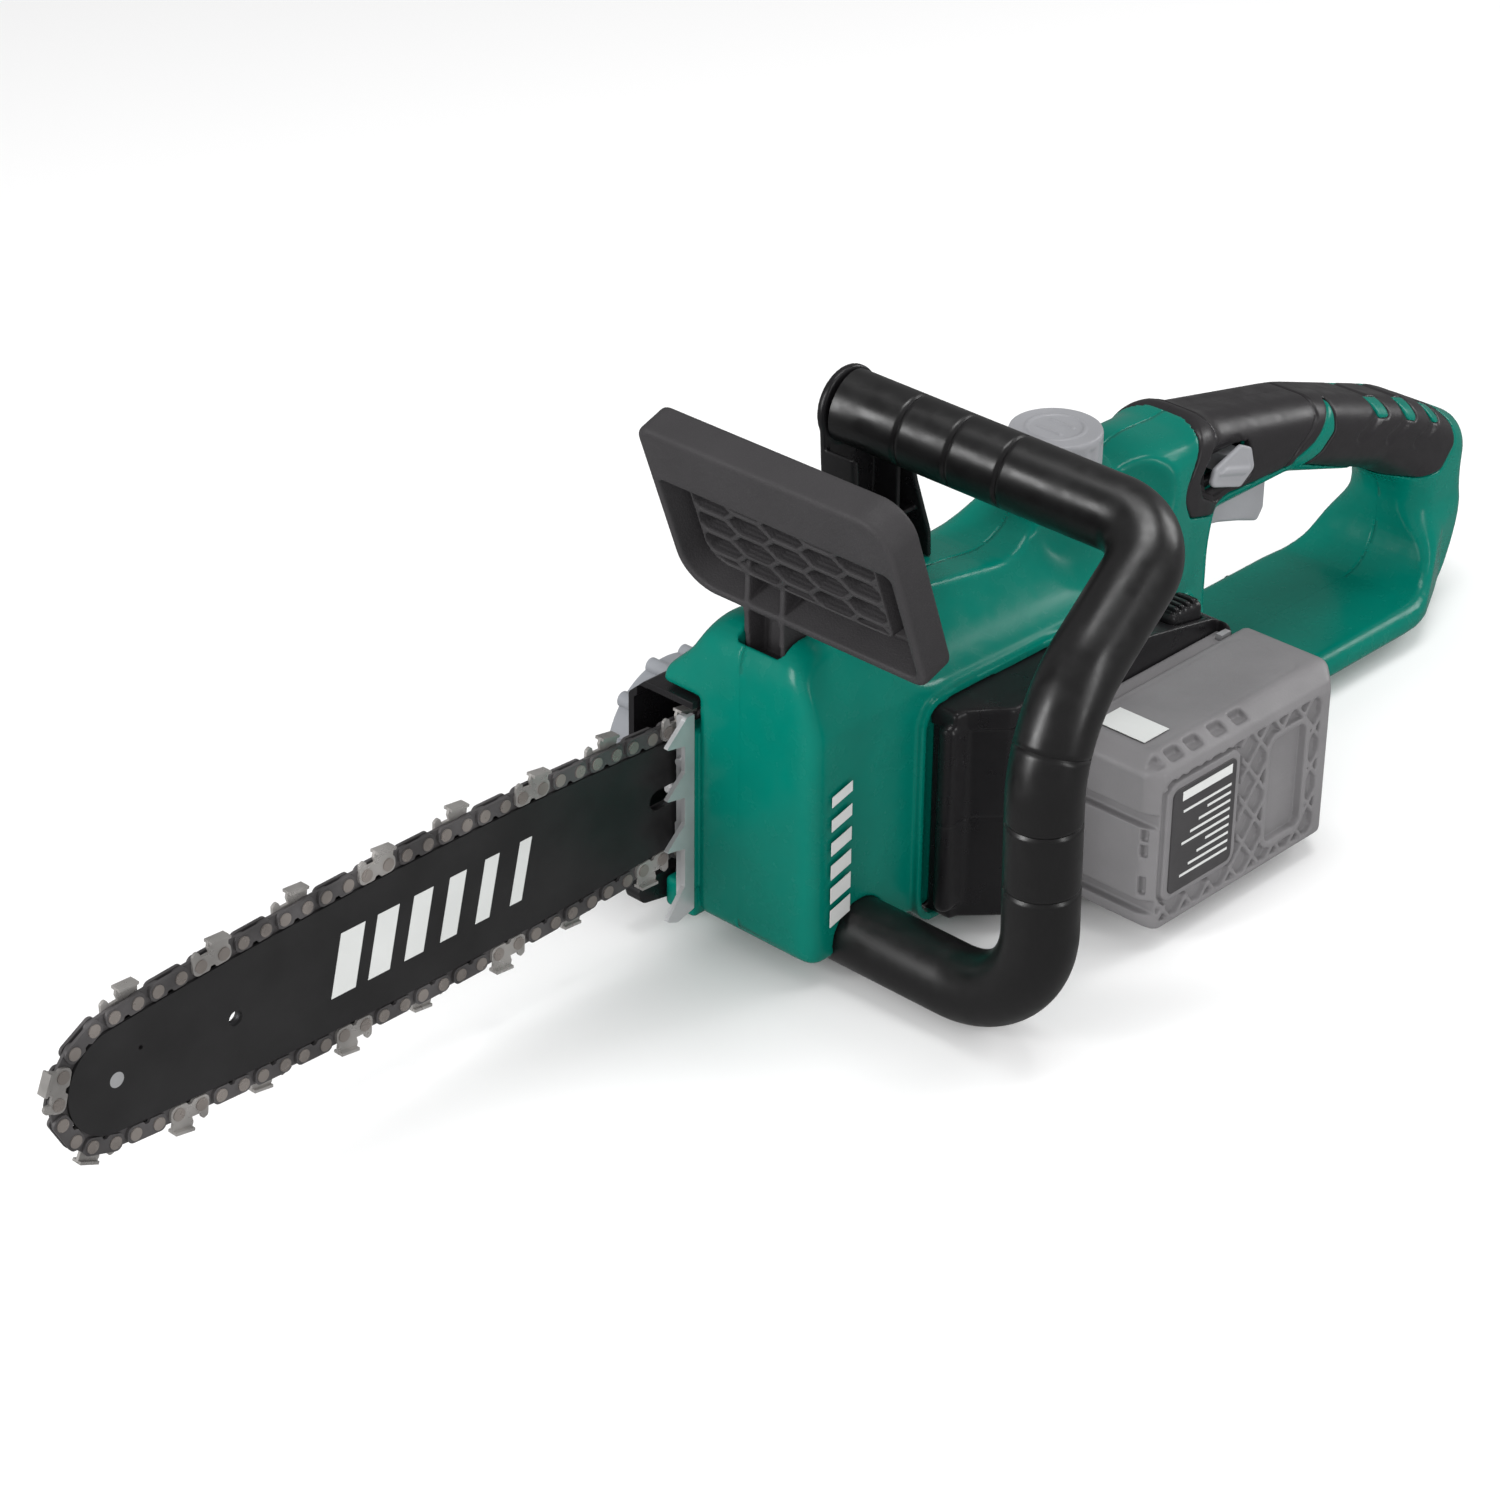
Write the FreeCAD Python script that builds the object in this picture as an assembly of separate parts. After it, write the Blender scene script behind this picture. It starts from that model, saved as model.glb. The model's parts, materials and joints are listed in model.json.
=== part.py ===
"""Cordless chainsaw with a 12 inch bar, built as separate pieces. Millimetres.

+X points to the bar's nose, +Y to the operator's left and +Z up. The origin lies on the
surface that the saw stands on, under the seam where the two housing halves meet (y = 0).
"""
import FreeCAD
import Part
import math
import os

V = FreeCAD.Vector
Y_AXIS = V(0, 1, 0)

# Chain and guide bar: 3/8 inch low profile chain, 45 drive links, on a 12 inch bar
BAR_Y = -33.0
AXIS_Z = 61.0
NOSE_X = 300.0
CENTRE_DISTANCE = 360.1
SPROCKET_X = NOSE_X - CENTRE_DISTANCE
DRIVE_LINKS = 45
RIVET_SPAN_DRIVE = 8.85
RIVET_SPAN_STRAP = 10.2
NOSE_RIVET_R = 24.8
DRIVE_RIVET_R = 18.4
MID_RIVET_HALF = 31.0
RAIL_DROP = 4.0
GROOVE_DROP = 10.2
DRIVE_LINK_T = 1.3
STRAP_T = 1.25
STRAP_GAP = 0.05
LINK_R = 3.4
RIVET_R = 1.9
RIVET_HOLE_R = 2.05
BAR_T = 4.0
GROOVE_T = 1.6
BAR_TAIL_X = -32.0
BAR_SLOT = (-20.0, 43.0)
BAR_SLOT_HALF = 4.3
NOSE_TEETH = 8
DRIVE_TEETH = 6
NOSE_PIN_R = 3.0

# Housing: green halves split on y = 0, with a black motor housing on the left
FRONT_X = 28.0
BODY_REAR_X = -231.0
LEFT_Y = 39.0
RIGHT_Y = -23.0
HOOD_Y = -42.0
BODY_Z = 7.0
HOOD_Z = 103.0
SHOULDER_Z = 104.0
CROWN_Z = 140.0
WALL = 2.8
GRIP_HALF = 22.0
GRIP_ROUND = 6.2
FLARE_HALF = 42.0
FLARE_TOP_Z = 50.0
FLARE_STEP = 0.5
GRIP_SKIN = 2.0

# Motor housing and battery
HOUSING_FRONT_X = -34.0
HOUSING_REAR_X = -206.0
HOUSING_Y = 64.0
HOUSING_TOP_Z = 100.0
PACK_X = (-200.0, -83.0)
PACK_Y = (64.5, 114.0)
PACK_Z = (7.5, 83.0)
PACK_TRAVEL = 90.0
RAIL_Z = (20.0, 82.0)

# Front handle, hand guard and oil cap
TUBE_R = 14.5
TUBE_WALL = 3.0
TUBE_X = -1.0
TUBE_TOP_X = -53.5
TUBE_START_Y = 25.0
TUBE_SIDE_Y = 126.0
TUBE_TOP_Z = 199.0
TUBE_END_Y = -20.0
GUARD_LEAN = 20.0
GUARD_FOOT = (20.0, 145.5)
GUARD_Y = (-35.0, 86.0)
GUARD_H = 78.5
GUARD_T = 15.0
STALK_Y = (-4.0, 16.0)
GUARD_PIVOT = (12.0, 122.0)
CAP_X = -150.0
CAP_Y = 2.0
CAP_R = 19.0
CAP_TOP_Z = 165.0
CAP_H = 22.0
NECK_R = 14.5

# Gear train: a motor pinion drives the gear on the sprocket spindle
MODULE = 1.25
GEAR_TEETH = 45
PINION_TEETH = 15
GEAR_Y = (-11.0, -4.0)
MOTOR_X = SPROCKET_X - MODULE * (GEAR_TEETH + PINION_TEETH) / 2
MOTOR_R = 24.0
MOTOR_Y = (0.0, 50.0)
SPINDLE_R = 5.0
SHAFT_R = 3.0
RUNNING = 0.05
CLEAR = 0.3

# Trigger's pin, as (x, z)
TRIGGER_PIVOT = (-243.0, 106.0)

# Oil pump beside the bar, as (x, z)
PUMP = (-15.0, 27.0)

# Housing screws as (x, z, y of the outer wall), and the spike bumper's screws
SCREWS = [(18.0, 107.0, -42.0), (-58.0, 17.0, -23.0), (-210.0, 17.0, -23.0), (-220.0, 48.0, -23.0),
          (-330.0, 13.5, -42.0)]
SPIKE_SCREW_Y = -26.8
SPIKE_SCREW_Z = (42.0, 76.0)

# Cover, knob and tension ring on the right
COVER_Y = -57.0
COVER_X = (-98.0, 28.0)
COVER_Z = (13.0, 102.0)
KNOB_X = -3.0
RING_R = 31.5
KNOB_R = 22.5
KNOB_Y = (-70.0, -57.4)
STUD_R = 4.0


# ---------------------------------------------------------------- helpers
def box(x0, x1, y0, y1, z0, z1):
    return Part.makeBox(x1 - x0, y1 - y0, z1 - z0, V(x0, y0, z0))


def rod_y(x, z, radius, y0, y1):
    return Part.makeCylinder(radius, y1 - y0, V(x, y0, z), Y_AXIS)


def rod_x(y, z, radius, x0, x1):
    return Part.makeCylinder(radius, x1 - x0, V(x0, y, z), V(1, 0, 0))


def rod_z(x, y, radius, z0, z1):
    return Part.makeCylinder(radius, z1 - z0, V(x, y, z0))


def ring_y(x, z, outer, inner, y0, y1):
    return rod_y(x, z, outer, y0, y1).cut(rod_y(x, z, inner, y0 - 1, y1 + 1))


def fuse(shapes):
    return shapes[0].multiFuse(shapes[1:]).removeSplitter()


def group(shapes):
    """Separate solids kept together as one node."""
    return Part.makeCompound(shapes)


def corner_wire(corners):
    """Closed wire through corners given as (point, radius), rounded by tangent arcs."""
    count = len(corners)
    starts, ends, arcs = [], [], []
    for i in range(count):
        before, here, after = corners[i - 1][0], corners[i][0], corners[(i + 1) % count][0]
        radius = corners[i][1]
        to_before = (before - here).normalize()
        to_after = (after - here).normalize()
        half = to_before.getAngle(to_after) / 2
        reach = radius / math.tan(half)
        middle = (to_before + to_after).normalize() * (radius / math.sin(half) - radius)
        starts.append(here + to_before * reach)
        ends.append(here + to_after * reach)
        arcs.append(here + middle)
    edges = []
    for i in range(count):
        if corners[i][1] > 0:
            edges.append(Part.Arc(starts[i], arcs[i], ends[i]).toShape())
        following = starts[(i + 1) % count]
        if (following - ends[i]).Length > 1e-6:
            edges.append(Part.LineSegment(ends[i], following).toShape())
    return Part.Wire(edges)


def side_wire(points, y=0.0):
    """Points are (x, z, corner radius), in a plane facing along Y."""
    return corner_wire([(V(x, y, z), r) for x, z, r in points])


def slab_y(points, y0, y1, inset=0.0):
    """Side outline pulled in by inset and extruded along Y."""
    wire = side_wire(points, y0)
    if inset:
        wire = wire.makeOffset2D(-inset)
    return Part.Face(wire).extrude(V(0, y1 - y0, 0))


def slab_x(points, x0, x1, inset=0.0):
    """Points are (y, z, corner radius); the outline is extruded along X."""
    wire = corner_wire([(V(x0, y, z), r) for y, z, r in points])
    if inset:
        wire = wire.makeOffset2D(-inset)
    return Part.Face(wire).extrude(V(x1 - x0, 0, 0))


def slab_z(points, z0, z1, inset=0.0):
    """Points are (x, y, corner radius); the outline is extruded along Z."""
    wire = corner_wire([(V(x, y, z0), r) for x, y, r in points])
    if inset:
        wire = wire.makeOffset2D(-inset)
    return Part.Face(wire).extrude(V(0, 0, z1 - z0))


def rounded_rect(a0, a1, b0, b1, radius):
    return [(a0, b0, radius), (a1, b0, radius), (a1, b1, radius), (a0, b1, radius)]


def soften(shape, radius, choose):
    """Fillet the edges that choose picks by their bounding box."""
    edges = [e for e in shape.Edges if choose(e.BoundBox)]
    return shape.makeFillet(radius, edges)


def pipe(corners, radius):
    """Round tube along a route of (point, bend radius), straight between the bends."""
    wire = open_route(corners)
    start = wire.OrderedEdges[0]
    heading = start.tangentAt(start.FirstParameter)
    ring = Part.Wire(Part.makeCircle(radius, corners[0][0], heading))
    return wire.makePipeShell([ring], True, False)


def open_route(corners):
    edges = []
    last = corners[0][0]
    for i in range(1, len(corners) - 1):
        here, radius = corners[i]
        back = (corners[i - 1][0] - here).normalize()
        ahead = (corners[i + 1][0] - here).normalize()
        half = back.getAngle(ahead) / 2
        reach = radius / math.tan(half)
        start = here + back * reach
        end = here + ahead * reach
        middle = here + (back + ahead).normalize() * (radius / math.sin(half) - radius)
        edges.append(Part.LineSegment(last, start).toShape())
        edges.append(Part.Arc(start, middle, end).toShape())
        last = end
    edges.append(Part.LineSegment(last, corners[-1][0]).toShape())
    return Part.Wire(edges)


# ---------------------------------------------------------------- chain path
def rail_reach(radius, end_radius):
    """Length along the bar from the crown of the rail arc to a tangent end circle."""
    return math.sqrt((radius - end_radius) ** 2 - (radius - MID_RIVET_HALF) ** 2)


def rail_radius():
    """Radius of the long arcs that are tangent to both end circles."""
    low, high = 500.0, 6000.0
    while high - low > 1e-6:
        mid = (low + high) / 2
        span = rail_reach(mid, NOSE_RIVET_R) + rail_reach(mid, DRIVE_RIVET_R)
        if span < CENTRE_DISTANCE:
            low = mid
        else:
            high = mid
    return low


RAIL_R = rail_radius()
CROWN_X = NOSE_X - rail_reach(RAIL_R, NOSE_RIVET_R)
RAIL_SINK = RAIL_R - MID_RIVET_HALF
NOSE_ANGLE = math.atan2(RAIL_SINK, NOSE_X - CROWN_X)
TAIL_ANGLE = math.atan2(RAIL_SINK, SPROCKET_X - CROWN_X)


def chain_arcs():
    """Arcs of the rivet line as (centre x, centre z, radius, first angle, sweep)."""
    top = (CROWN_X, AXIS_Z - RAIL_SINK, RAIL_R, TAIL_ANGLE, TAIL_ANGLE - NOSE_ANGLE)
    nose = (NOSE_X, AXIS_Z, NOSE_RIVET_R, NOSE_ANGLE, 2 * NOSE_ANGLE)
    bottom = (CROWN_X, AXIS_Z + RAIL_SINK, RAIL_R, -NOSE_ANGLE, TAIL_ANGLE - NOSE_ANGLE)
    tail = (SPROCKET_X, AXIS_Z, DRIVE_RIVET_R, -TAIL_ANGLE, 2 * (math.pi - TAIL_ANGLE))
    return [top, nose, bottom, tail]


def chain_point(arcs, length):
    for x, z, radius, first, sweep in arcs:
        if length <= radius * sweep:
            angle = first - length / radius
            return V(x + radius * math.cos(angle), BAR_Y, z + radius * math.sin(angle))
        length -= radius * sweep
    return chain_point(arcs, length)


def chain_rivet_points():
    arcs = chain_arcs()
    total = sum(radius * sweep for _, _, radius, _, sweep in arcs)
    scale = total / (DRIVE_LINKS * (RIVET_SPAN_DRIVE + RIVET_SPAN_STRAP))
    print("chain loop", round(total, 2), "mm, scale", round(scale, 5))
    points, length = [], 0.0
    for i in range(2 * DRIVE_LINKS):
        points.append(chain_point(arcs, length))
        length += scale * (RIVET_SPAN_STRAP if i % 2 else RIVET_SPAN_DRIVE)
    return points


def place_link(link, a, b):
    """Copy of a link drawn about its middle, laid between rivets a and b."""
    copy = link.copy()
    copy.rotate(V(0, 0, 0), Y_AXIS, -math.degrees(math.atan2(b.z - a.z, b.x - a.x)))
    copy.translate((a + b) * 0.5)
    return copy


def link_holes(span, y0, y1):
    return fuse([rod_y(s * span / 2, 0, RIVET_HOLE_R, y0, y1) for s in (-1, 1)])


def link_outline(span):
    """Straight-topped link with a waist cut in its lower edge."""
    end = span / 2 + LINK_R
    return [(-end, LINK_R, 2.6), (end, LINK_R, 2.6), (end, -LINK_R, 2.6),
            (1.6, -LINK_R, 0.8), (0.8, -LINK_R + 1.3, 0.6), (-0.8, -LINK_R + 1.3, 0.6),
            (-1.6, -LINK_R, 0.8), (-end, -LINK_R, 2.6)]


def strap_plate(side):
    near = DRIVE_LINK_T / 2 + STRAP_GAP
    y0, y1 = sorted((side * near, side * (near + STRAP_T)))
    plate = slab_y(link_outline(RIVET_SPAN_STRAP), y0, y1)
    return plate.cut(link_holes(RIVET_SPAN_STRAP, y0 - 1, y1 + 1))


def drive_link_plate():
    half = DRIVE_LINK_T / 2
    end = RIVET_SPAN_DRIVE / 2 + 3.0
    body = slab_y([(-end, 3.0, 2.6), (end, 3.0, 2.6), (end, -3.0, 2.6),
                   (1.4, -8.3, 1.2), (-2.6, -8.3, 0.8), (-end, -3.0, 2.6)], -half, half)
    return body.cut(link_holes(RIVET_SPAN_DRIVE, -2, 2))


def cutter_plate(side):
    """Strap with a depth gauge in front and a raised side and top plate behind."""
    near = DRIVE_LINK_T / 2 + STRAP_GAP
    y0, y1 = sorted((side * near, side * (near + STRAP_T)))
    tooth = slab_y([(0.4, 2.0, 0.3), (1.4, 5.6, 0.5), (0.6, 8.0, 0.2),
                    (-8.2, 7.0, 0.4), (-7.4, 2.0, 0.3)], y0, y1)
    gauge = slab_y([(8.2, 2.0, 0.3), (8.0, 5.2, 1.0), (5.6, 6.6, 1.2), (4.0, 2.0, 0.4)], y0, y1)
    t0, t1 = sorted((-side * 0.6, side * 3.7))
    top = slab_y([(0.7, 6.9, 0.1), (0.6, 8.1, 0.1), (-8.0, 7.1, 0.3), (-7.8, 5.9, 0.3)], t0, t1)
    return fuse([strap_plate(side), tooth, gauge, top])


def chain():
    points = chain_rivet_points()
    count = len(points)
    drive = drive_link_plate()
    left, right = strap_plate(1), strap_plate(-1)
    cutter_left, cutter_right = cutter_plate(1), cutter_plate(-1)
    head = DRIVE_LINK_T / 2 + STRAP_GAP + STRAP_T
    drives, straps, cutters, rivets = [], [], [], []
    for i in range(0, count, 2):
        drives.append(place_link(drive, points[i], points[i + 1]))
        a, b = points[i + 1], points[(i + 2) % count]
        turn = (i // 2) % 4
        last = i // 2 == DRIVE_LINKS - 1
        if turn == 0 and not last:
            cutters.append(place_link(cutter_left, a, b))
            straps.append(place_link(right, a, b))
        elif turn == 2:
            cutters.append(place_link(cutter_right, a, b))
            straps.append(place_link(left, a, b))
        else:
            straps.append(place_link(left, a, b))
            straps.append(place_link(right, a, b))
    for p in points:
        shaft = rod_y(p.x, p.z, RIVET_R, BAR_Y - head, BAR_Y + head)
        caps = [rod_y(p.x, p.z, 2.5, BAR_Y + y0, BAR_Y + y0 + 0.45) for y0 in (head, -head - 0.45)]
        rivets.append(fuse([shaft] + caps))
    return {"chain_drive_links": group(drives), "chain_tie_straps": group(straps),
            "chain_cutters": group(cutters), "chain_rivets": group(rivets)}


# ---------------------------------------------------------------- guide bar
def bar_face(drop, tail_x, y):
    """Face inside the rivet line by drop, closed by a round-cornered tail."""
    nose_r = NOSE_RIVET_R - drop
    rail_r = RAIL_R - drop
    sink = RAIL_SINK
    half_tail = math.sqrt(rail_r ** 2 - (tail_x + 6 - CROWN_X) ** 2) - sink
    ends = [V(NOSE_X + nose_r * math.cos(s * NOSE_ANGLE), y, AXIS_Z + nose_r * math.sin(s * NOSE_ANGLE))
            for s in (1, -1)]
    tips = [V(tail_x + 6, y, AXIS_Z + s * half_tail) for s in (1, -1)]
    crowns = [V(CROWN_X, y, AXIS_Z + s * (MID_RIVET_HALF - drop)) for s in (1, -1)]
    corners = [V(tail_x, y, AXIS_Z + s * (half_tail - 6)) for s in (1, -1)]
    edges = [Part.Arc(tips[0], crowns[0], ends[0]).toShape(),
             Part.Arc(ends[0], V(NOSE_X + nose_r, y, AXIS_Z), ends[1]).toShape(),
             Part.Arc(ends[1], crowns[1], tips[1]).toShape(),
             Part.LineSegment(tips[1], corners[1]).toShape(),
             Part.LineSegment(corners[1], corners[0]).toShape(),
             Part.LineSegment(corners[0], tips[0]).toShape()]
    return Part.Face(Part.Wire(edges))


def bar_holes():
    slot = slab_y(rounded_rect(BAR_SLOT[0], BAR_SLOT[1], AXIS_Z - BAR_SLOT_HALF,
                               AXIS_Z + BAR_SLOT_HALF, BAR_SLOT_HALF - 0.01), BAR_Y - 5, BAR_Y + 5)
    tension = rod_y(8.0, AXIS_Z + 13.0, 3.0 + RUNNING, BAR_Y - 5, BAR_Y + 5)
    oil = rod_y(-4.0, AXIS_Z - 14.0, 2.0, BAR_Y - 5, BAR_Y + 5)
    hole = rod_y(NOSE_X - 52.6, AXIS_Z, 3.0, BAR_Y - 5, BAR_Y + 5)
    lube = rod_y(NOSE_X - 11.0, AXIS_Z + 8.0, 0.9, BAR_Y - 5, BAR_Y + 5)
    return fuse([slot, tension, oil, hole, lube])


def guide_bar():
    plate_t = (BAR_T - GROOVE_T) / 2
    holes = bar_holes()
    plates = []
    for y in (BAR_Y - BAR_T / 2, BAR_Y + GROOVE_T / 2):
        plate = bar_face(RAIL_DROP, BAR_TAIL_X, y).extrude(V(0, plate_t, 0)).cut(holes)
        plates.append(plate.cut(rod_y(NOSE_X, AXIS_Z, NOSE_PIN_R, y - 1, y + 3)))
    core = bar_face(GROOVE_DROP, BAR_TAIL_X + 4, BAR_Y - GROOVE_T / 2).extrude(V(0, GROOVE_T, 0))
    pocket = rod_y(NOSE_X, AXIS_Z, 19.5, BAR_Y - 3, BAR_Y + 3)
    pin = rod_y(NOSE_X, AXIS_Z, NOSE_PIN_R, BAR_Y - BAR_T / 2, BAR_Y + BAR_T / 2)
    return {"bar_side_plates": group(plates), "bar_core": core.cut(pocket).cut(holes), "nose_rivet": pin}


def toothed_wheel(x, z, teeth, root, tip, width_root, width_tip, y0, y1, first=0.0):
    """Disc with straight-sided teeth."""
    blank = [rod_y(x, z, root, y0, y1)]
    for i in range(teeth):
        tooth = slab_y([(-width_root / 2, root * 0.97, 0), (width_root / 2, root * 0.97, 0),
                        (width_tip / 2, tip, 0), (-width_tip / 2, tip, 0)], y0, y1)
        tooth.rotate(V(0, 0, 0), Y_AXIS, first + 360.0 * i / teeth)
        tooth.translate(V(x, 0, z))
        blank.append(tooth)
    return fuse(blank)


def gear(x, z, teeth, bore, y0, y1, first):
    pitch_r = MODULE * teeth / 2
    wheel = toothed_wheel(x, z, teeth, pitch_r - 1.25 * MODULE, pitch_r + 0.85 * MODULE,
                          1.96 * MODULE, 0.72 * MODULE, y0, y1, first)
    return wheel.cut(rod_y(x, z, bore, y0 - 1, y1 + 1))


def tang_phase(centre_x, teeth):
    """Turn that puts the gaps of a chain wheel on the drive links around it."""
    points = chain_rivet_points()
    middles = [(points[i] + points[i + 1]) * 0.5 for i in range(0, len(points), 2)]
    near = min(middles, key=lambda p: math.hypot(p.x - centre_x, p.z - AXIS_Z) + 0.001 * abs(p.z - AXIS_Z))
    angle = math.degrees(math.atan2(near.x - centre_x, near.z - AXIS_Z))
    return angle + 180.0 / teeth


def nose_sprocket():
    wheel = toothed_wheel(NOSE_X, AXIS_Z, NOSE_TEETH, 15.6, 18.4, 7.6, 4.2, BAR_Y - 0.6, BAR_Y + 0.6,
                          tang_phase(NOSE_X, NOSE_TEETH))
    return wheel.cut(rod_y(NOSE_X, AXIS_Z, NOSE_PIN_R + RUNNING, BAR_Y - 2, BAR_Y + 2))


def drive_group():
    sprocket = toothed_wheel(SPROCKET_X, AXIS_Z, DRIVE_TEETH, 9.2, 13.2, 4.6, 3.0,
                             BAR_Y - 3.4, BAR_Y + 3.4, tang_phase(SPROCKET_X, DRIVE_TEETH))
    sprocket = sprocket.cut(rod_y(SPROCKET_X, AXIS_Z, SPINDLE_R, BAR_Y - 5, BAR_Y + 5))
    spindle = rod_y(SPROCKET_X, AXIS_Z, SPINDLE_R, BAR_Y - 8, 2.5)
    drum = ring_y(SPROCKET_X, AXIS_Z, 20.0, SPINDLE_R, -18.8, -12.5)
    wheel = gear(SPROCKET_X, AXIS_Z, GEAR_TEETH, SPINDLE_R, GEAR_Y[0], GEAR_Y[1], 90.0)
    collar = rod_y(SPROCKET_X, AXIS_Z, 8.0, BAR_Y - 4.9, BAR_Y - 3.6)
    return {"drive_sprocket": sprocket, "drive_spindle": fuse([spindle, collar]), "brake_drum": drum,
            "output_gear": wheel}


def bar_fixings():
    """Parts that hold the bar: stud, guide key, metal pad and the tension pin."""
    stud = rod_y(KNOB_X, AXIS_Z, STUD_R, -66.0, -19.6)
    key = slab_y(rounded_rect(16, 30, AXIS_Z - 4, AXIS_Z + 4, 3.9), BAR_Y - 3, -30.7)
    pad = slab_y(rounded_rect(-26, 27, AXIS_Z - 18, AXIS_Z + 18, 5), -30.7, RIGHT_Y)
    pad = pad.cut(rod_y(KNOB_X, AXIS_Z, STUD_R, -40, 0)).cut(lower_front_lip())
    pad = pad.cut(box(1.5, 14.5, -40, 0, AXIS_Z + 9.5, AXIS_Z + 16.5))
    pin = rod_y(8.0, AXIS_Z + 13.0, 3.0, BAR_Y - 3.5, -26.0)
    return {"bar_stud": stud, "bar_pad": fuse([pad, key]), "tension_pin": pin}


def spike_bumper():
    """Toothed leaf beside the bar, with a flat leaf against the housing front."""
    tip_x, root_x, leaf_t = 43.0, 33.0, 2.0
    outline = [(FRONT_X, 97.6, 0), (root_x, 97.6, 1.5)]
    for tip_z in (87.7, 65.3, 42.7):
        outline += [(root_x, tip_z + 9.0, 0.8), (tip_x, tip_z, 0.5), (root_x, tip_z - 1.8, 0.8)]
    outline += [(root_x, 24.0, 1.0), (tip_x, 12.0, 1.0), (root_x + 4, 9.5, 3.0), (FRONT_X, 12.0, 0)]
    toothed = slab_y(outline, -24.0, -24.0 + leaf_t)
    flat = slab_x(rounded_rect(-29.6, -22.0, 14.0, 96.0, 2.0), FRONT_X, FRONT_X + leaf_t)
    tab_outline = [(-30.4, 36, 1.5), (-24, 30, 1.0), (-24, 54, 1.0), (-30.4, 48, 1.5)]
    tab = slab_x(tab_outline, FRONT_X, FRONT_X + leaf_t)
    bumper = fuse([toothed, flat, tab])
    screws = []
    for z in SPIKE_SCREW_Z:
        bumper = bumper.cut(rod_x(SPIKE_SCREW_Y, z, 1.5, FRONT_X - 12, FRONT_X + 5))
        shaft = rod_x(SPIKE_SCREW_Y, z, 1.5, FRONT_X - 10, FRONT_X + leaf_t)
        head = Part.makeCone(2.6, 1.9, 1.6, V(FRONT_X + leaf_t, SPIKE_SCREW_Y, z), V(1, 0, 0))
        screws.append(fuse([shaft, head]))
    return {"spike_bumper": bumper, "spike_screws": group(screws)}


def chain_catcher():
    return slab_y([(24, 9, 2), (40, 12, 4), (42, 18, 3), (36, 21.5, 2), (24, 21.5, 1)], -46.0, -38.4)


# ---------------------------------------------------------------- housing
def body_side():
    return [(FRONT_X, BODY_Z, 9), (FRONT_X, CROWN_Z, 17), (-60, 132, 60), (-112, 127, 30),
            (-134, 140, 12), (-170, 141, 12), (-190, 152, 14), (BODY_REAR_X, 147, 8),
            (BODY_REAR_X, BODY_Z, 4)]


def body_section():
    return [(LEFT_Y, BODY_Z, 5), (LEFT_Y, SHOULDER_Z, 10), (8, 158, 10), (-12, 158, 10),
            (-24, 122, 30), (HOOD_Y, HOOD_Z + 6, 9), (HOOD_Y, HOOD_Z, 0.8), (RIGHT_Y, HOOD_Z, 0.8),
            (RIGHT_Y, BODY_Z, 4)]


def body_plan():
    return [(FRONT_X, LEFT_Y, 10), (-140, LEFT_Y, 40), (BODY_REAR_X, 23, 3),
            (BODY_REAR_X, -23, 3), (-170, HOOD_Y, 20), (FRONT_X, HOOD_Y, 3)]


def body_block(inset):
    side = slab_y(body_side(), -60, 60, inset)
    section = slab_x(body_section(), -260, 40, inset)
    outline = slab_z(body_plan(), -10, 170, inset)
    return side.common(section).common(outline)


def handle_outer():
    return [(-176, 150, 12), (-228, 147, 60), (-310, 128.5, 100), (-385, 102, 60), (-429, 80, 16),
            (-424, 40, 40), (-404, BODY_Z, 24), (-176, BODY_Z, 12)]


def handle_loop():
    return [(BODY_REAR_X, 99, 12), (-290, 99, 30), (-350, 80, 24), (-381, 62, 18), (-381, 20, 22),
            (-256, 20, 20), (BODY_REAR_X, 38, 20)]


def handle_ring(inset):
    """Rear handle drawn from the side as a ring, rounded along its edges."""
    half = GRIP_HALF - inset
    outer = slab_y(handle_outer(), -half, half, inset)
    loop = slab_y(handle_loop(), -half, half, -inset)
    return soften(outer.cut(loop), GRIP_ROUND - inset, lambda b: b.YLength < 0.1)


def lower_bar(inset):
    """Foot of the rear handle, which widens into a guard for the hand."""
    outer = slab_y(handle_outer(), -60, 60, inset + FLARE_STEP)
    loop = slab_y(handle_loop(), -60, 60, -inset - FLARE_STEP)
    right = [(FLARE_HALF, BODY_Z, 5), (FLARE_HALF, 19, 5), (24, FLARE_TOP_Z, 10), (20, 60, 2)]
    section = slab_x(right + [(-y, z, r) for y, z, r in reversed(right)], -500, -200, inset)
    edge = [(-224, 26, 4), (-292, FLARE_HALF, 40), (-366, FLARE_HALF, 34), (-404, 22, 12), (-430, 14, 2)]
    plan = slab_z(edge + [(x, -y, r) for x, y, r in reversed(edge)], 0, 200, inset)
    return outer.cut(loop).common(section).common(plan).common(box(-500, -224, -60, 60, 0, 58 - inset))


def grip_zone_front():
    return slab_y([(-206, 122, 6), (-218, 175, 2), (-318, 160, 2), (-322, 118, 2), (-292, 80, 2),
                   (-262, 104, 8), (-212, 110, 6)], -40, 40)


def grip_zone_rear():
    return slab_y([(-300, 70, 2), (-330, 118, 2), (-326, 150, 2), (-470, 120, 2), (-470, 84, 2),
                   (-420, 74, 8), (-396, 60, 8), (-360, 62, 8)], -40, 40)


def pad_of(zone):
    return handle_ring(0).cut(handle_ring(GRIP_SKIN)).common(zone)


def housing_window():
    """Opening in the left wall behind the motor housing."""
    return slab_y(rounded_rect(-196, -42, 14, 92, 6), LEFT_Y - 17, LEFT_Y + 8)


def stalk_slot():
    return box(1.0, 25.0, STALK_Y[0] - 1.0, STALK_Y[1] + 1.0, 112.2, 150)


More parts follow.
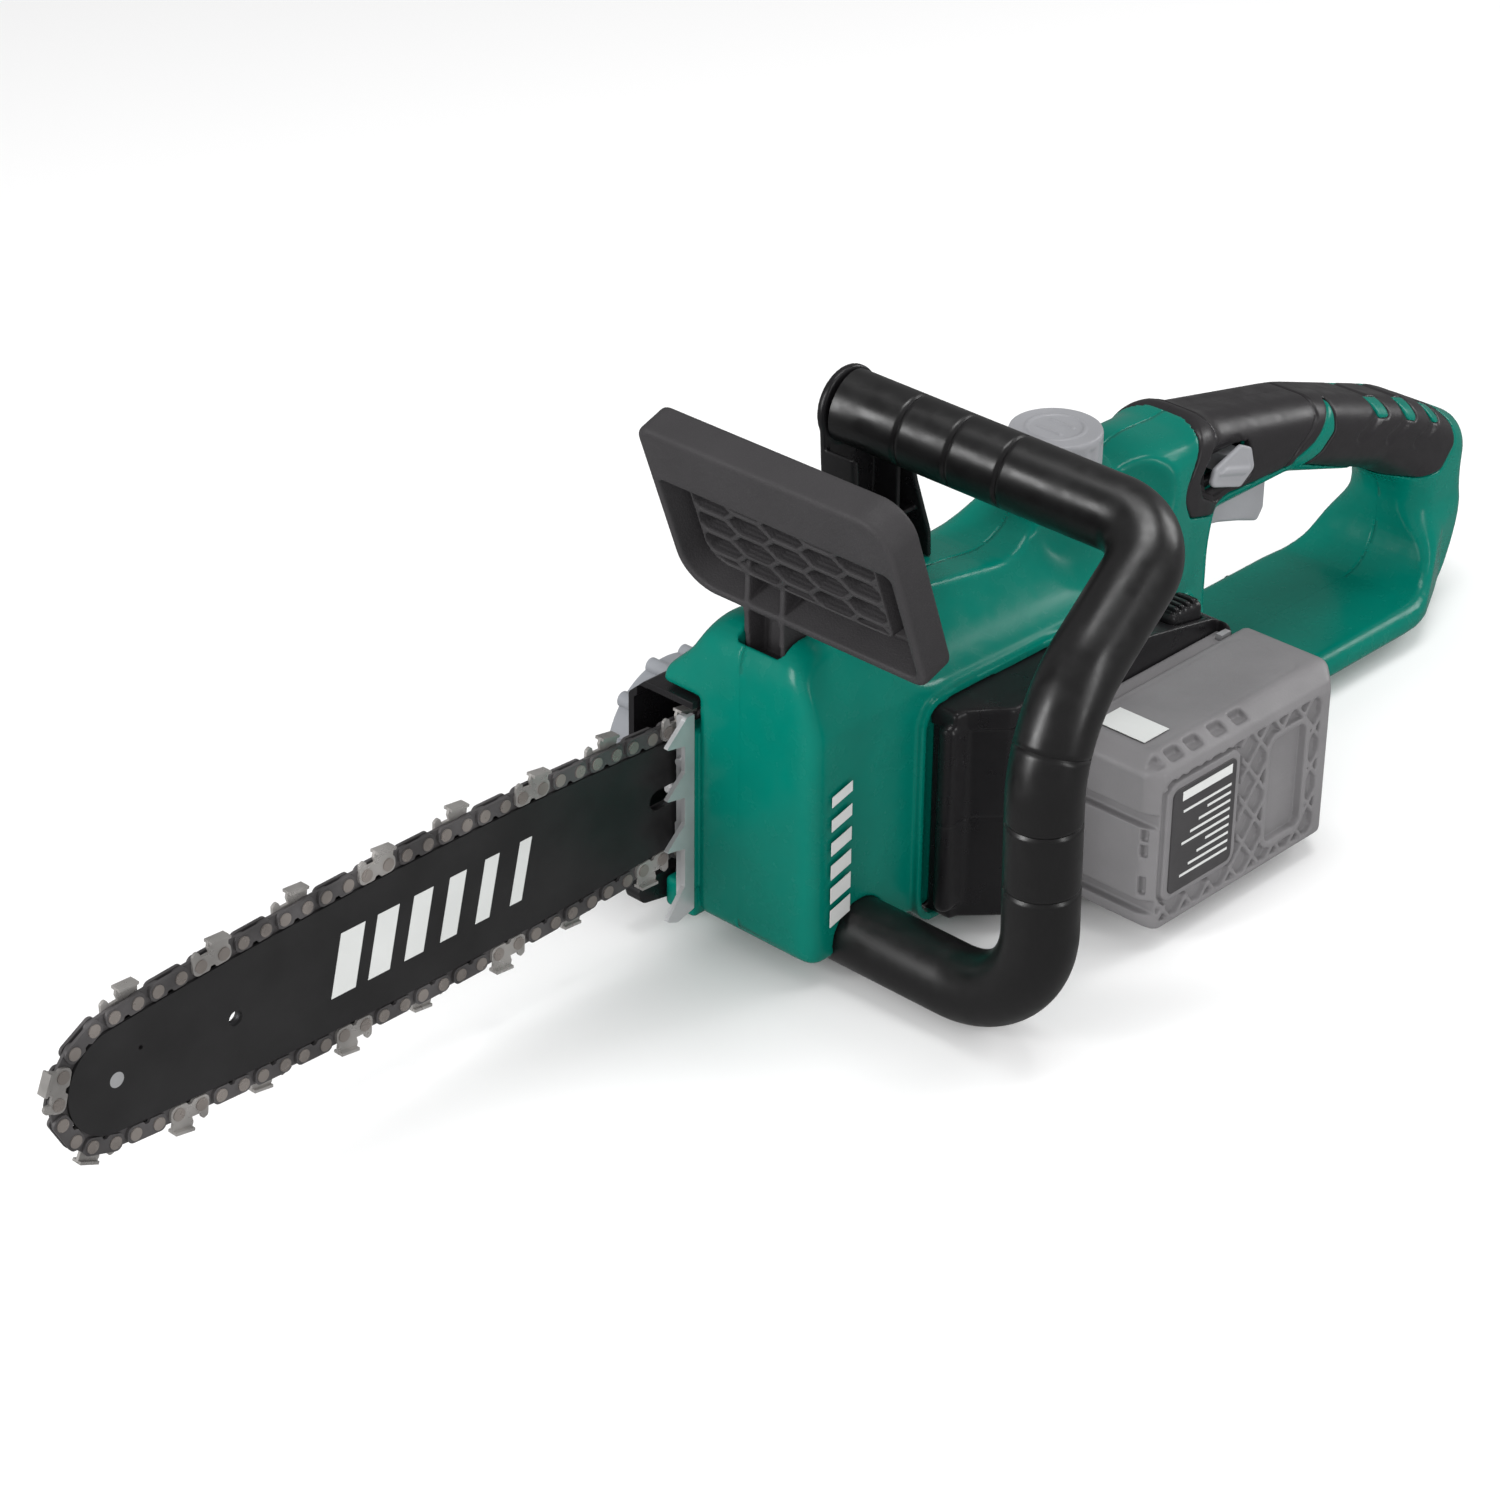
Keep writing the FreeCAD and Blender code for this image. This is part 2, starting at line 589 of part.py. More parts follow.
def trigger_slot():
    return box(-291, -235, -8.6, 8.6, 88, 105)


def lock_off_slot():
    return slab_y(rounded_rect(-253, -228, 116, 129, 3), -40, 40)


def thumb_recesses():
    """Clearance in the housing sides for the lock-off paddles."""
    return fuse([box(-256, -218, y, y + 20, 110, 135) for y in (22, -42)])


def trigger_bosses(outer):
    """Bosses in the handle walls that hold the trigger's pin."""
    x, z = TRIGGER_PIVOT
    return fuse([rod_y(x, z, 4.5, y, y + 30) for y in (8.6, -38.6)]).common(outer)


def pivot_lugs():
    """Lugs under the top wall that hold the hand guard's pin."""
    x, z = GUARD_PIVOT
    lugs = [box(x - 6, x + 6, y, y + 5, z - 6, 150) for y in (STALK_Y[0] - 6.5, STALK_Y[1] + 1.5)]
    return fuse(lugs).common(body_block(0.5))


def screw_bosses(outer):
    posts = [rod_y(x, z, 5.4, -60, 60) for x, z, _ in SCREWS]
    return fuse(posts).common(outer)


def body_holes():
    holes = [housing_window(), stalk_slot(), trigger_slot(), lock_off_slot(), thumb_recesses(),
             rod_y(TRIGGER_PIVOT[0], TRIGGER_PIVOT[1], 2.0, -17.2, 17.2),
             rod_z(CAP_X, CAP_Y, NECK_R, 120, 175),
             rod_y(TUBE_X, TUBE_R, TUBE_R, TUBE_START_Y, LEFT_Y + 2),
             rod_y(SPROCKET_X, AXIS_Z, 9.0, -30, -18),
             rod_y(KNOB_X, AXIS_Z, STUD_R, -40, -10),
             rod_y(PUMP[0], PUMP[1], 2.5, -40, -19),
             rod_y(GUARD_PIVOT[0], GUARD_PIVOT[1], 2.5, -12, 24)]
    for z in SPIKE_SCREW_Z:
        holes.append(rod_x(SPIKE_SCREW_Y, z, 1.5, FRONT_X - 13, FRONT_X + 5))
    for x, z, y in SCREWS:
        holes.append(rod_y(x, z, 1.6, -60, 20))
        holes.append(rod_y(x, z, 3.4, -60, y + 3))
    return fuse(holes)


def body_shells():
    outer = fuse([body_block(0), handle_ring(0), lower_bar(0), lower_front_lip()])
    inner = fuse([body_block(WALL), handle_ring(WALL + GRIP_SKIN), lower_bar(WALL)])
    shell = outer.cut(inner)
    shell = shell.fuse(screw_bosses(outer)).fuse(pivot_lugs()).fuse(trigger_bosses(handle_ring(1.0)))
    shell = shell.cut(pad_of(grip_zone_front())).cut(pad_of(grip_zone_rear()))
    shell = shell.cut(body_holes()).removeSplitter()
    left = shell.common(box(-500, 100, 0, 200, -20, 300))
    right = shell.common(box(-500, 100, -200, 0, -20, 300))
    return {"body_shell_left": left, "body_shell_right": right}


def grip_skins():
    """Soft black skins let into the handle, a front and a rear piece on each half."""
    openings = fuse([trigger_slot(), lock_off_slot(), body_block(0)])
    pads = [pad_of(zone).cut(openings) for zone in (grip_zone_front(), grip_zone_rear())]
    halves = {"left": box(-500, 0, 0, 60, 0, 200), "right": box(-500, 0, -60, 0, 0, 200)}
    return {"grip_skin_" + side: group([pad.common(half) for pad in pads]) for side, half in halves.items()}


def housing_screws():
    screws = []
    for x, z, y in SCREWS:
        shaft = rod_y(x, z, 1.6, y + 3, 18)
        head = rod_y(x, z, 3.1, y + 0.6, y + 3).cut(rod_y(x, z, 1.3, y, y + 1.8))
        screws.append(fuse([shaft, head]))
    return group(screws)


def lower_front_lip():
    """Front wall strip and foot beside the bar, carrying the spike and the catcher."""
    strip = box(FRONT_X - 12, FRONT_X, -29.2, RIGHT_Y + 1, 20, 90)
    foot_outline = [(-20, BODY_Z, 2), (FRONT_X, BODY_Z, 9), (FRONT_X, 20, 2), (-20, 20, 2)]
    foot = slab_y(foot_outline, -38.0, RIGHT_Y + 1)
    return fuse([strip, foot])


def feet():
    """Rubber pads under the housing, level with the handle tube and the rear handle."""
    return group([slab_z(rounded_rect(x, x + 34, -12, 12, 5), 0, BODY_Z) for x in (-28, -200)])


# ---------------------------------------------------------------- motor housing and battery
def housing_side(inset):
    outline = [(HOUSING_FRONT_X, BODY_Z, 6), (HOUSING_FRONT_X, HOUSING_TOP_Z, 6), (-130, 98, 20),
               (-165, 90, 20), (HOUSING_REAR_X, 86, 6), (HOUSING_REAR_X, BODY_Z, 6)]
    return slab_y(outline, LEFT_Y, HOUSING_Y + 1, inset)


def housing_plan(inset):
    """Top view: a front pilaster, then a flare out to the battery dock."""
    outline = [(HOUSING_FRONT_X, LEFT_Y - 9, 0), (HOUSING_FRONT_X, 51.5, 5), (-41, 51.5, 2),
               (-56, HOUSING_Y, 6), (HOUSING_REAR_X, HOUSING_Y, 6), (HOUSING_REAR_X, LEFT_Y - 9, 0)]
    return slab_z(outline, BODY_Z - 1, HOUSING_TOP_Z + 5, inset)


def motor_housing():
    shell = housing_side(0).common(housing_plan(0)).cut(housing_side(WALL).common(housing_plan(WALL)))
    mouth = box(HOUSING_REAR_X + WALL, HOUSING_FRONT_X - WALL, LEFT_Y - 1, LEFT_Y + 4, BODY_Z + WALL, 84)
    channel = box(-190, -93, HOUSING_Y - 7, HOUSING_Y + 1, RAIL_Z[0] - 4, HOUSING_TOP_Z + 5)
    trough = box(-192.5, -90.5, HOUSING_Y - 9.5, HOUSING_Y, RAIL_Z[0] - 6.5, HOUSING_TOP_Z)
    trough = trough.common(housing_side(0))
    button = box(-185.4, -164.6, 41.1, 53.9, 80, HOUSING_TOP_Z)
    return shell.cut(mouth).fuse(trough).cut(channel).cut(button).removeSplitter()


def dock_rails():
    """Two metal rails on the channel walls that the pack slides up along."""
    rails = [box(x, x + 5.9, HOUSING_Y - 2.8, HOUSING_Y, RAIL_Z[0], RAIL_Z[1]) for x in (-190, -98.9)]
    return group(rails)


def terminal_block():
    base = box(-160, -122, HOUSING_Y - 7, HOUSING_Y - 1.5, RAIL_Z[0] - 4, RAIL_Z[0] + 4)
    blades = [box(x, x + 1.2, HOUSING_Y - 5, HOUSING_Y - 2.5, RAIL_Z[0] + 3, RAIL_Z[0] + 14) for x in
              (-154, -142, -130)]
    return fuse([base] + blades)


def pack_release():
    """Ribbed button that springs out of the dock's rear rim."""
    ribs = [box(x, x + 1.6, 41.9, 53.1, 92, 95.4) for x in (-182, -178, -174, -170)]
    return fuse([box(-185, -165, 41.5, 53.5, 83, 93)] + ribs)


def battery_case():
    """Outer case of the pack with a T-shaped foot that runs behind the dock rails."""
    x0, x1 = PACK_X
    plan = [(x0, PACK_Y[0], 4), (x1, PACK_Y[0], 4), (x1, PACK_Y[1] - 7, 3), (x1 - 7, PACK_Y[1], 3),
            (x0 + 9, PACK_Y[1], 4), (x0, PACK_Y[1] - 9, 4)]
    outer = slab_z(plan, PACK_Z[0], PACK_Z[1])
    outer = soften(outer, 2.5, lambda b: b.ZLength < 0.1)
    hollow = slab_z(plan, PACK_Z[0] + 2.5, PACK_Z[1] - 2.5, 2.5)
    foot = fuse([box(-183.6, -99.4, HOUSING_Y - 4, PACK_Y[0] + 0.5, 24.5, 80),
                 box(-189.6, -93.4, HOUSING_Y - 6.6, HOUSING_Y - 3.2, 24.5, 80)])
    case = outer.cut(hollow).fuse(foot)
    sockets = [box(x - 1, x + 2.2, HOUSING_Y - 5.5, HOUSING_Y - 2, 24, 36) for x in (-154, -142, -130)]
    window = box(-182, -112, PACK_Y[1] - 1.0, PACK_Y[1] + 1, 16, 66)
    return case.cut(fuse(sockets)).cut(window).removeSplitter()


def battery_cells():
    """Ten cells joined in pairs by nickel strips."""
    cells = []
    for i in range(5):
        for y in (79.0, 99.0):
            cells.append(rod_z(-181.0 + 19.6 * i, y, 9.2, 12.5, 77.5))
        cells.append(box(-185.0 + 19.6 * i, -177.0 + 19.6 * i, 72, 106, 77.6, 77.9))
    return group(cells)


# ---------------------------------------------------------------- motor
def motor():
    y0, y1 = MOTOR_Y[0], MOTOR_Y[1] - 4
    can = ring_y(MOTOR_X, AXIS_Z, MOTOR_R, MOTOR_R - 2, y0, y1)
    ends = [ring_y(MOTOR_X, AXIS_Z, MOTOR_R, 8.0, y, y + 3) for y in (y0, y1 - 3)]
    vent = [rod_y(MOTOR_X + 15 * math.cos(a), AXIS_Z + 15 * math.sin(a), 4, y0 - 1, y1 + 1) for a in
            (0.8, 2.35, 3.95, 5.5)]
    bearings = [ring_y(MOTOR_X, AXIS_Z, 8.0, SHAFT_R + RUNNING, y, y + 3) for y in (y0, y1 - 3)]
    magnet = ring_y(MOTOR_X, AXIS_Z, MOTOR_R - 2, 18.6, y0 + 6, y1 - 8)
    gap = box(MOTOR_X - 3, MOTOR_X + 3, y0, y1, AXIS_Z - 30, AXIS_Z + 30)
    shaft = rod_y(MOTOR_X, AXIS_Z, SHAFT_R, GEAR_Y[0] - 0.4, y1 + 7.5)
    core = ring_y(MOTOR_X, AXIS_Z, 17.9, SHAFT_R, y0 + 7, y1 - 12)
    slots = [rod_y(MOTOR_X + 17 * math.cos(i * math.pi / 6), AXIS_Z + 17 * math.sin(i * math.pi / 6), 1.6,
                   y0 + 6, y1 - 11) for i in range(12)]
    commutator = ring_y(MOTOR_X, AXIS_Z, 8.0, SHAFT_R, y1 - 10, y1 - 4)
    spindle_bearings = [ring_y(SPROCKET_X, AXIS_Z, 9.0, SPINDLE_R + RUNNING, y, y + 3.6) for y in
                        (RIGHT_Y, -1.8)]
    return {"motor_can": fuse([can] + ends).cut(fuse(vent)), "bearings": group(bearings + spindle_bearings),
            "motor_magnets": magnet.cut(gap), "motor_shaft": shaft,
            "armature": group([core.cut(fuse(slots)), commutator])}


def cooling_fan():
    y0 = MOTOR_Y[1] - 3.4
    hub = ring_y(MOTOR_X, AXIS_Z, 6.0, SHAFT_R, y0, y0 + 5.5)
    disc = ring_y(MOTOR_X, AXIS_Z, 19.0, 5.5, y0, y0 + 1.2)
    blades = []
    for i in range(9):
        blade = box(5.5, 18.8, y0 + 1.0, y0 + 5.5, -0.6, 0.6)
        blade.rotate(V(0, 0, 0), Y_AXIS, 40.0 * i)
        blade.translate(V(MOTOR_X, 0, AXIS_Z))
        blades.append(blade)
    return fuse([hub, disc] + blades)


def pinion():
    return gear(MOTOR_X, AXIS_Z, PINION_TEETH, SHAFT_R, GEAR_Y[0], GEAR_Y[1], 90.0)


def gearbox_plate():
    """Frame between the gear and the motor that carries the inner bearing."""
    plate = slab_y([(-126, 34, 4), (-28, 34, 4), (-28, 92, 4), (-126, 92, 4)], -2.0, -0.3)
    eye = ring_y(SPROCKET_X, AXIS_Z, 12.0, 9.0, -2.0, 2.0)
    plate = plate.cut(rod_y(SPROCKET_X, AXIS_Z, 9.0, -3, 3)).cut(rod_y(MOTOR_X, AXIS_Z, 12.0, -3, 3))
    return fuse([plate, eye])


def brake_band():
    """Steel band round the drum, with a gap at the top for the pull link."""
    band = ring_y(SPROCKET_X, AXIS_Z, 21.6, 20.5, -18.2, -13.2)
    return band.cut(box(SPROCKET_X - 3, SPROCKET_X + 3, -19, -12, AXIS_Z + 10, AXIS_Z + 30))


def brake_link():
    pull = box(-56, 3, -17, -14, 85, 88)
    post = box(-1, 3, -17, -14, 85, 108)
    yoke = box(-1, 3, -17, 10, 104, 108)
    return fuse([pull, post, yoke])


# ---------------------------------------------------------------- oil system
def oil_tank():
    top_z, neck_z, neck_r = 112, 148, NECK_R - CLEAR
    outer = [slab_z(rounded_rect(-192, -127, -16, 18, 5), 84, top_z),
             rod_z(CAP_X, CAP_Y, neck_r, 106, neck_z)]
    inner = [slab_z(rounded_rect(-190, -129, -14, 16, 4), 86, top_z - 2),
             rod_z(CAP_X, CAP_Y, neck_r - 2.7, 106, neck_z + 2)]
    return fuse(outer).cut(fuse(inner))


def oil_cap():
    """Screw cap: a skirt over the neck, with grip flutes and a raised drop on top."""
    z0 = CAP_TOP_Z - CAP_H
    body = rod_z(CAP_X, CAP_Y, CAP_R, z0, CAP_TOP_Z)
    body = soften(body, 2.5, lambda b: b.ZLength < 0.1 and b.ZMin > z0 + 1)
    hollow = rod_z(CAP_X, CAP_Y, NECK_R + 0.5, z0 - 1, CAP_TOP_Z - 4)
    flutes = []
    for i in range(14):
        a = 2 * math.pi * i / 14
        flutes.append(rod_z(CAP_X + (CAP_R + 1.4) * math.cos(a), CAP_Y + (CAP_R + 1.4) * math.sin(a), 2.2,
                            z0 + 3, CAP_TOP_Z - 4))
    return body.cut(hollow).cut(fuse(flutes))


def cap_seal():
    ring = Part.makeTorus(NECK_R - 1.5, 1.2, V(CAP_X, CAP_Y, CAP_TOP_Z - 15.6))
    return ring


def oil_pump():
    x, z = PUMP
    return fuse([rod_y(x, z, 6.0, -19.8, -8), rod_y(x, z, 2.4, -25, -19.8)])


def oil_hose():
    """Hose from the tank's floor down and forward to the pump."""
    x, z = PUMP
    corners = [(V(CAP_X, 10, 84), 0), (V(CAP_X, 10, z), 14), (V(x, 10, z), 8), (V(x, -8, z), 0)]
    print("oil hose bend radii", [r for _, r in corners if r])
    return pipe(corners, 2.5)


# ---------------------------------------------------------------- controls and wiring
def controller_board():
    board = box(-214, -212, -15, 15, 24, 78)
    parts = [box(-212, -206, -12, -4, 46, 70), box(-212, -204, 2, 12, 32, 44), rod_x(9, 68, 4, -212, -202)]
    return fuse([board] + parts)


def wiring():
    """Insulated leads from the dock to the board, and on to the motor and the switch."""
    dock_y = HOUSING_Y - 9.5
    routes = [[(V(-160, dock_y, 20.8), 0), (V(-160, 7, 20.8), 12), (V(-207.5, 7, 20.8), 6),
               (V(-207.5, 7, 30), 0)],
              [(V(-172, dock_y, 30), 0), (V(-172, -4, 30), 12), (V(-212, -4, 30), 0)],
              [(V(-214, 0, 70), 0), (V(-223, 0, 70), 6), (V(-223, 0, 113.5), 10), (V(-258, 0, 113.5), 0)]]
    print("lead bend radii", [r for route in routes for _, r in route if r])
    leads = [pipe(route, 1.5) for route in routes]
    leads += [rod_x(3.0, z, 1.5, -212, MOTOR_X - MOTOR_R) for z in (56.0, 61.0)]
    return group(leads)


def trigger_switch():
    return fuse([box(-286, -258, -9, 9, 110, 124), rod_z(-266, 0, 2.0, 106.8, 110)])


def trigger():
    x, z = TRIGGER_PIVOT
    blade = slab_y([(-237, 104, 1), (-236, 90, 2), (-253, 87.5, 20), (-281, 78.5, 2.5), (-285, 84, 2),
                    (-285, 102, 2), (-252, 102, 2), (-252, 104, 0.5)], -8.2, 8.2)
    hub = rod_y(x, z, 5.0, -8.2, 8.2)
    return fuse([blade, hub]).cut(rod_y(x, z, 2.0 + RUNNING, -12, 12))


def trigger_pin():
    return rod_y(TRIGGER_PIVOT[0], TRIGGER_PIVOT[1], 2.0, -17.2, 17.2)


def trigger_spring():
    """Compression spring between the trigger and the switch body."""
    helix = Part.makeHelix(1.8, 6.6, 3.0)
    wire = Part.Wire(helix.Edges)
    ring = Part.Wire(Part.makeCircle(0.45, V(3.0, 0, 0), V(0, 1, 0.1)))
    coil = wire.makePipeShell([ring], True, True)
    coil.translate(V(-277, 0, 102.6))
    return coil


def lock_off_button():
    """Slider through the grip with a thumb paddle on each side."""
    stem = box(-250, -240, -21, 21, 118, 127)
    outline = [(-224, 120, 2), (-225, 126, 3), (-243, 132, 2), (-250, 129, 3), (-253, 119, 3),
               (-244, 113, 3)]
    paddles = [slab_y(outline, y, y + 2.6) for y in (22.3, -24.9)]
    necks = [box(-249, -239, y, y + 2.4, 118, 126) for y in (20.2, -22.6)]
    return fuse([stem] + paddles + necks)


# ---------------------------------------------------------------- front handle and guard
def handle_route():
    return [(V(TUBE_X, TUBE_START_Y, TUBE_R), 0), (V(TUBE_X, TUBE_SIDE_Y, TUBE_R), 41),
            (V(2, TUBE_SIDE_Y, 141), 56), (V(-73, 116, 186), 22),
            (V(TUBE_TOP_X, TUBE_END_Y, TUBE_TOP_Z), 0)]


def handle_tube():
    return pipe(handle_route(), TUBE_R).cut(pipe(handle_route(), TUBE_R - TUBE_WALL))


def handle_bracket():
    """Channel-shaped leg from the tube's right end down to the housing."""
    outline = [(-31, 212, 14), (-37, 178, 10), (-45, 118, 3), (-94, 118, 3), (-93, 140, 8), (-84, 163, 12),
               (-67, 196, 16), (-61, 219, 14)]
    y0, y1 = TUBE_END_Y - 3, TUBE_END_Y + 15
    leg = slab_y(outline, y0, y1)
    leg = leg.fuse(rod_y(TUBE_TOP_X, TUBE_TOP_Z, TUBE_R + 2.2, y0, TUBE_END_Y + 1))
    hollow = slab_y(outline, TUBE_END_Y, y1 + 1, 2.5)
    ribs = [box(-92, -40, TUBE_END_Y, y1 - 3, 150, 152.2), box(-70, -67.8, TUBE_END_Y, y1 - 3, 118, 181)]
    inside = leg.common(fuse(ribs))
    shell = leg.cut(hollow).fuse(inside).cut(rod_y(TUBE_TOP_X, TUBE_TOP_Z, TUBE_R, TUBE_END_Y, y1 + 2))
    cap = rod_y(TUBE_TOP_X, TUBE_TOP_Z, TUBE_R + 2.2, y0, TUBE_END_Y)
    return shell.cut(body_block(0)).fuse(cap).cut(pipe(handle_route(), TUBE_R)).removeSplitter()


def hand_guard():
    """Leaning shield with a shallow tray in its lower front, on a ribbed stalk."""
    y0, y1 = GUARD_Y
    plate = slab_x([(y0, 0, 14), (y1, 0, 6), (y1 + 1, GUARD_H, 12), (y0, GUARD_H, 5)], -GUARD_T, 0)
    rim, tray_top, back_foot = 4, GUARD_H * 0.64, GUARD_H * 0.68
    tray = slab_x([(y0 + rim, rim, 11), (y1 - rim, rim, 4), (y1 - rim, tray_top, 2), (y0 + rim, tray_top, 2)],
                  -GUARD_T + 2, 1)
    back = slab_x([(y0 + rim, back_foot, 2), (y1 - rim, back_foot, 2), (y1 - rim, GUARD_H - rim, 8),
                   (y0 + rim, GUARD_H - rim, 4)], -GUARD_T - 1, -3)
    shield = plate.cut(tray).cut(back)
    shield.rotate(V(0, 0, 0), Y_AXIS, GUARD_LEAN)
    shield.translate(V(GUARD_FOOT[0], 0, GUARD_FOOT[1]))
    stalk = slab_y([(21, 146, 0), (19.5, 128, 0), (19, 114, 3), (5, 114, 3), (4.5, 130, 0), (9.5, 156, 0),
                    (20, 156, 0)], STALK_Y[0], STALK_Y[1])
    web = [slab_y([(9, 150, 0), (19, 147, 0), (20, 186, 0), (22, 200, 0)], y, y + 2.5) for y in
           (STALK_Y[0], STALK_Y[1] - 2.5)]
    core = slab_x(rounded_rect(STALK_Y[0] + 2.5, STALK_Y[1] - 2.5, 126, 160, 1), 12, 30)
    x, z = GUARD_PIVOT
    guard = fuse([shield, stalk.cut(core)] + web)
    return guard.cut(rod_y(x, z, 2.5 + RUNNING, STALK_Y[0] - 2, STALK_Y[1] + 2))


def guard_pin():
    x, z = GUARD_PIVOT
    return rod_y(x, z, 2.5, STALK_Y[0] - 6, STALK_Y[1] + 6)


# ---------------------------------------------------------------- sprocket cover
def cover_side(inset):
    outline = [(COVER_X[0], COVER_Z[0], 22), (COVER_X[1] + inset, COVER_Z[0], 4),
               (COVER_X[1] + inset, COVER_Z[1], 0.5), (COVER_X[0], COVER_Z[1], 30)]
    return slab_y(outline, -80, 0, inset)


def cover_section(inset):
    outline = [(RIGHT_Y + inset, COVER_Z[0], 0.2), (RIGHT_Y + inset, COVER_Z[1], 0.2), (-48, COVER_Z[1], 3),
               (COVER_Y, 94, 3), (COVER_Y, 22, 6), (-48, COVER_Z[0], 6)]
    return slab_x(outline, COVER_X[0] - 1, COVER_X[1] + 3, inset)


def sprocket_cover():
    shell = cover_side(0).common(cover_section(0)).cut(cover_side(WALL).common(cover_section(WALL)))
    mouth = box(COVER_X[1] - 8, COVER_X[1] + 5, -52.5, -20, 26, 99)
    land = rounded_rect(-26, 14, AXIS_Z - 14, AXIS_Z + 14, 6)
    land = slab_y(land, COVER_Y + 1, BAR_Y - BAR_T / 2 - CLEAR)
    foot_gap = box(-22, 40, -40, -20, 0, 21.6)
    catcher_gap = box(23.5, 45, -50, -38, 5, 22)
    shell = shell.fuse(land).cut(mouth).cut(foot_gap).cut(catcher_gap)
    shell = shell.cut(rod_y(KNOB_X, AXIS_Z, STUD_R + CLEAR, -70, -20)).cut(slot_for_pin())
    return shell.removeSplitter()


def slot_for_pin():
    return box(0.5, 15.5, -37, -34, AXIS_Z + 9, AXIS_Z + 17)


def knob_washer():
    return ring_y(KNOB_X, AXIS_Z, 9.0, STUD_R + RUNNING, KNOB_Y[1] - 2.0, KNOB_Y[1])


def lock_knob():
    """Clamping knob with a finger bar across its face."""
    disc = rod_y(KNOB_X, AXIS_Z, KNOB_R, KNOB_Y[0] + 4, KNOB_Y[1])
    bar = slab_y(rounded_rect(-20, 20, -4.5, 4.5, 4), KNOB_Y[0], KNOB_Y[0] + 5)
    bar.rotate(V(0, 0, 0), Y_AXIS, 25)
    bar.translate(V(KNOB_X, 0, AXIS_Z))
    knob = fuse([disc, bar])
    bore = rod_y(KNOB_X, AXIS_Z, STUD_R + RUNNING, KNOB_Y[0] + 3.5, KNOB_Y[1] + 1)
    seat = rod_y(KNOB_X, AXIS_Z, 9.4, KNOB_Y[1] - 2.3, KNOB_Y[1] + 1)
    return knob.cut(bore).cut(seat)


def tension_ring():
    """Lobed ring round the knob."""
    y0, y1 = KNOB_Y[0] + 1.5, KNOB_Y[1]
    ring = rod_y(KNOB_X, AXIS_Z, RING_R, y0, y1)
    lobes = []
    for i in range(11):
        a = 2 * math.pi * (i + 0.35) / 11
        lobes.append(rod_y(KNOB_X + RING_R * math.cos(a), AXIS_Z + RING_R * math.sin(a), 3.2, y0, y1))
    return fuse([ring] + lobes).cut(rod_y(KNOB_X, AXIS_Z, KNOB_R + 0.5, y0 - 1, y1 + 1))


# ---------------------------------------------------------------- build
def all_parts():
    parts = {}
    for family in (chain, guide_bar, drive_group, bar_fixings, spike_bumper, body_shells, grip_skins, motor):
        parts.update(family())
    for single in (nose_sprocket, chain_catcher, housing_screws, feet, motor_housing, dock_rails,
                   terminal_block, pack_release, battery_case, battery_cells, cooling_fan, pinion,
                   gearbox_plate, brake_band, brake_link, oil_tank, oil_cap, cap_seal, oil_pump, oil_hose,
                   controller_board, wiring, trigger_switch, trigger, trigger_pin, trigger_spring,
                   lock_off_button, handle_tube, handle_bracket, hand_guard, guard_pin, sprocket_cover, knob_washer,
                   lock_knob, tension_ring):
        parts[single.__name__] = single()
    return parts


os.makedirs("parts", exist_ok=True)
for node, shape in all_parts().items():
    shape.exportStep("parts/" + node + ".step")
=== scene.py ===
"""Looks of the cordless chainsaw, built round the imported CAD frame. Shapes are in millimetres."""
import json
import math

import bpy
import numpy as np
from mathutils import Matrix, Vector


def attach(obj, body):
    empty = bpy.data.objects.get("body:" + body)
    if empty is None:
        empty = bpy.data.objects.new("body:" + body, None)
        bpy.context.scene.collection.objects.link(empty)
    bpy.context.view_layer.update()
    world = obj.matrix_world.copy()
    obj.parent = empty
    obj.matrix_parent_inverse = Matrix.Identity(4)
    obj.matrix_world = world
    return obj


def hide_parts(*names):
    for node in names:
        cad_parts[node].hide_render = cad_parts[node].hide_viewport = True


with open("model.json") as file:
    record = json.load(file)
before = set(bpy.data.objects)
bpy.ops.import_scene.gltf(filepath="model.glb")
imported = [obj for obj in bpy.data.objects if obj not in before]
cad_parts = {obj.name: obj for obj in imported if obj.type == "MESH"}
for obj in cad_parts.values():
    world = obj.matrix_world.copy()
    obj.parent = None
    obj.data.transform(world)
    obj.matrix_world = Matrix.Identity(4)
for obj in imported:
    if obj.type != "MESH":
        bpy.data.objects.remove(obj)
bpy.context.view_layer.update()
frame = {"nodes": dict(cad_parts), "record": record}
nodes = frame["nodes"]
MM = 0.001
PARTING = 0.03            # half the gap between the two halves of a split moulding
SHARP_ANGLE = 50
MOST_FACES = 190000       # triangles in one piece, at most


# ---------------------------------------------------------------- camera, floor and light
CAMERA_PLACE = (1.0022, 0.9215, 0.8591)
CAMERA_RIGHT, CAMERA_BACK = (-0.6845, 0.7290, 0.0), (0.6326, 0.5940, 0.4970)
CAMERA_ROLL, CAMERA_LENS, CAMERA_SENSOR = 0.57, 99.47, 36.0
WORLD_LIGHT, WORLD_MIRRORED = 0.60, 0.22
FLOOR_HALF, FLOOR_Z, FLOOR_WHITE = 7.0, -0.0006, 0.93


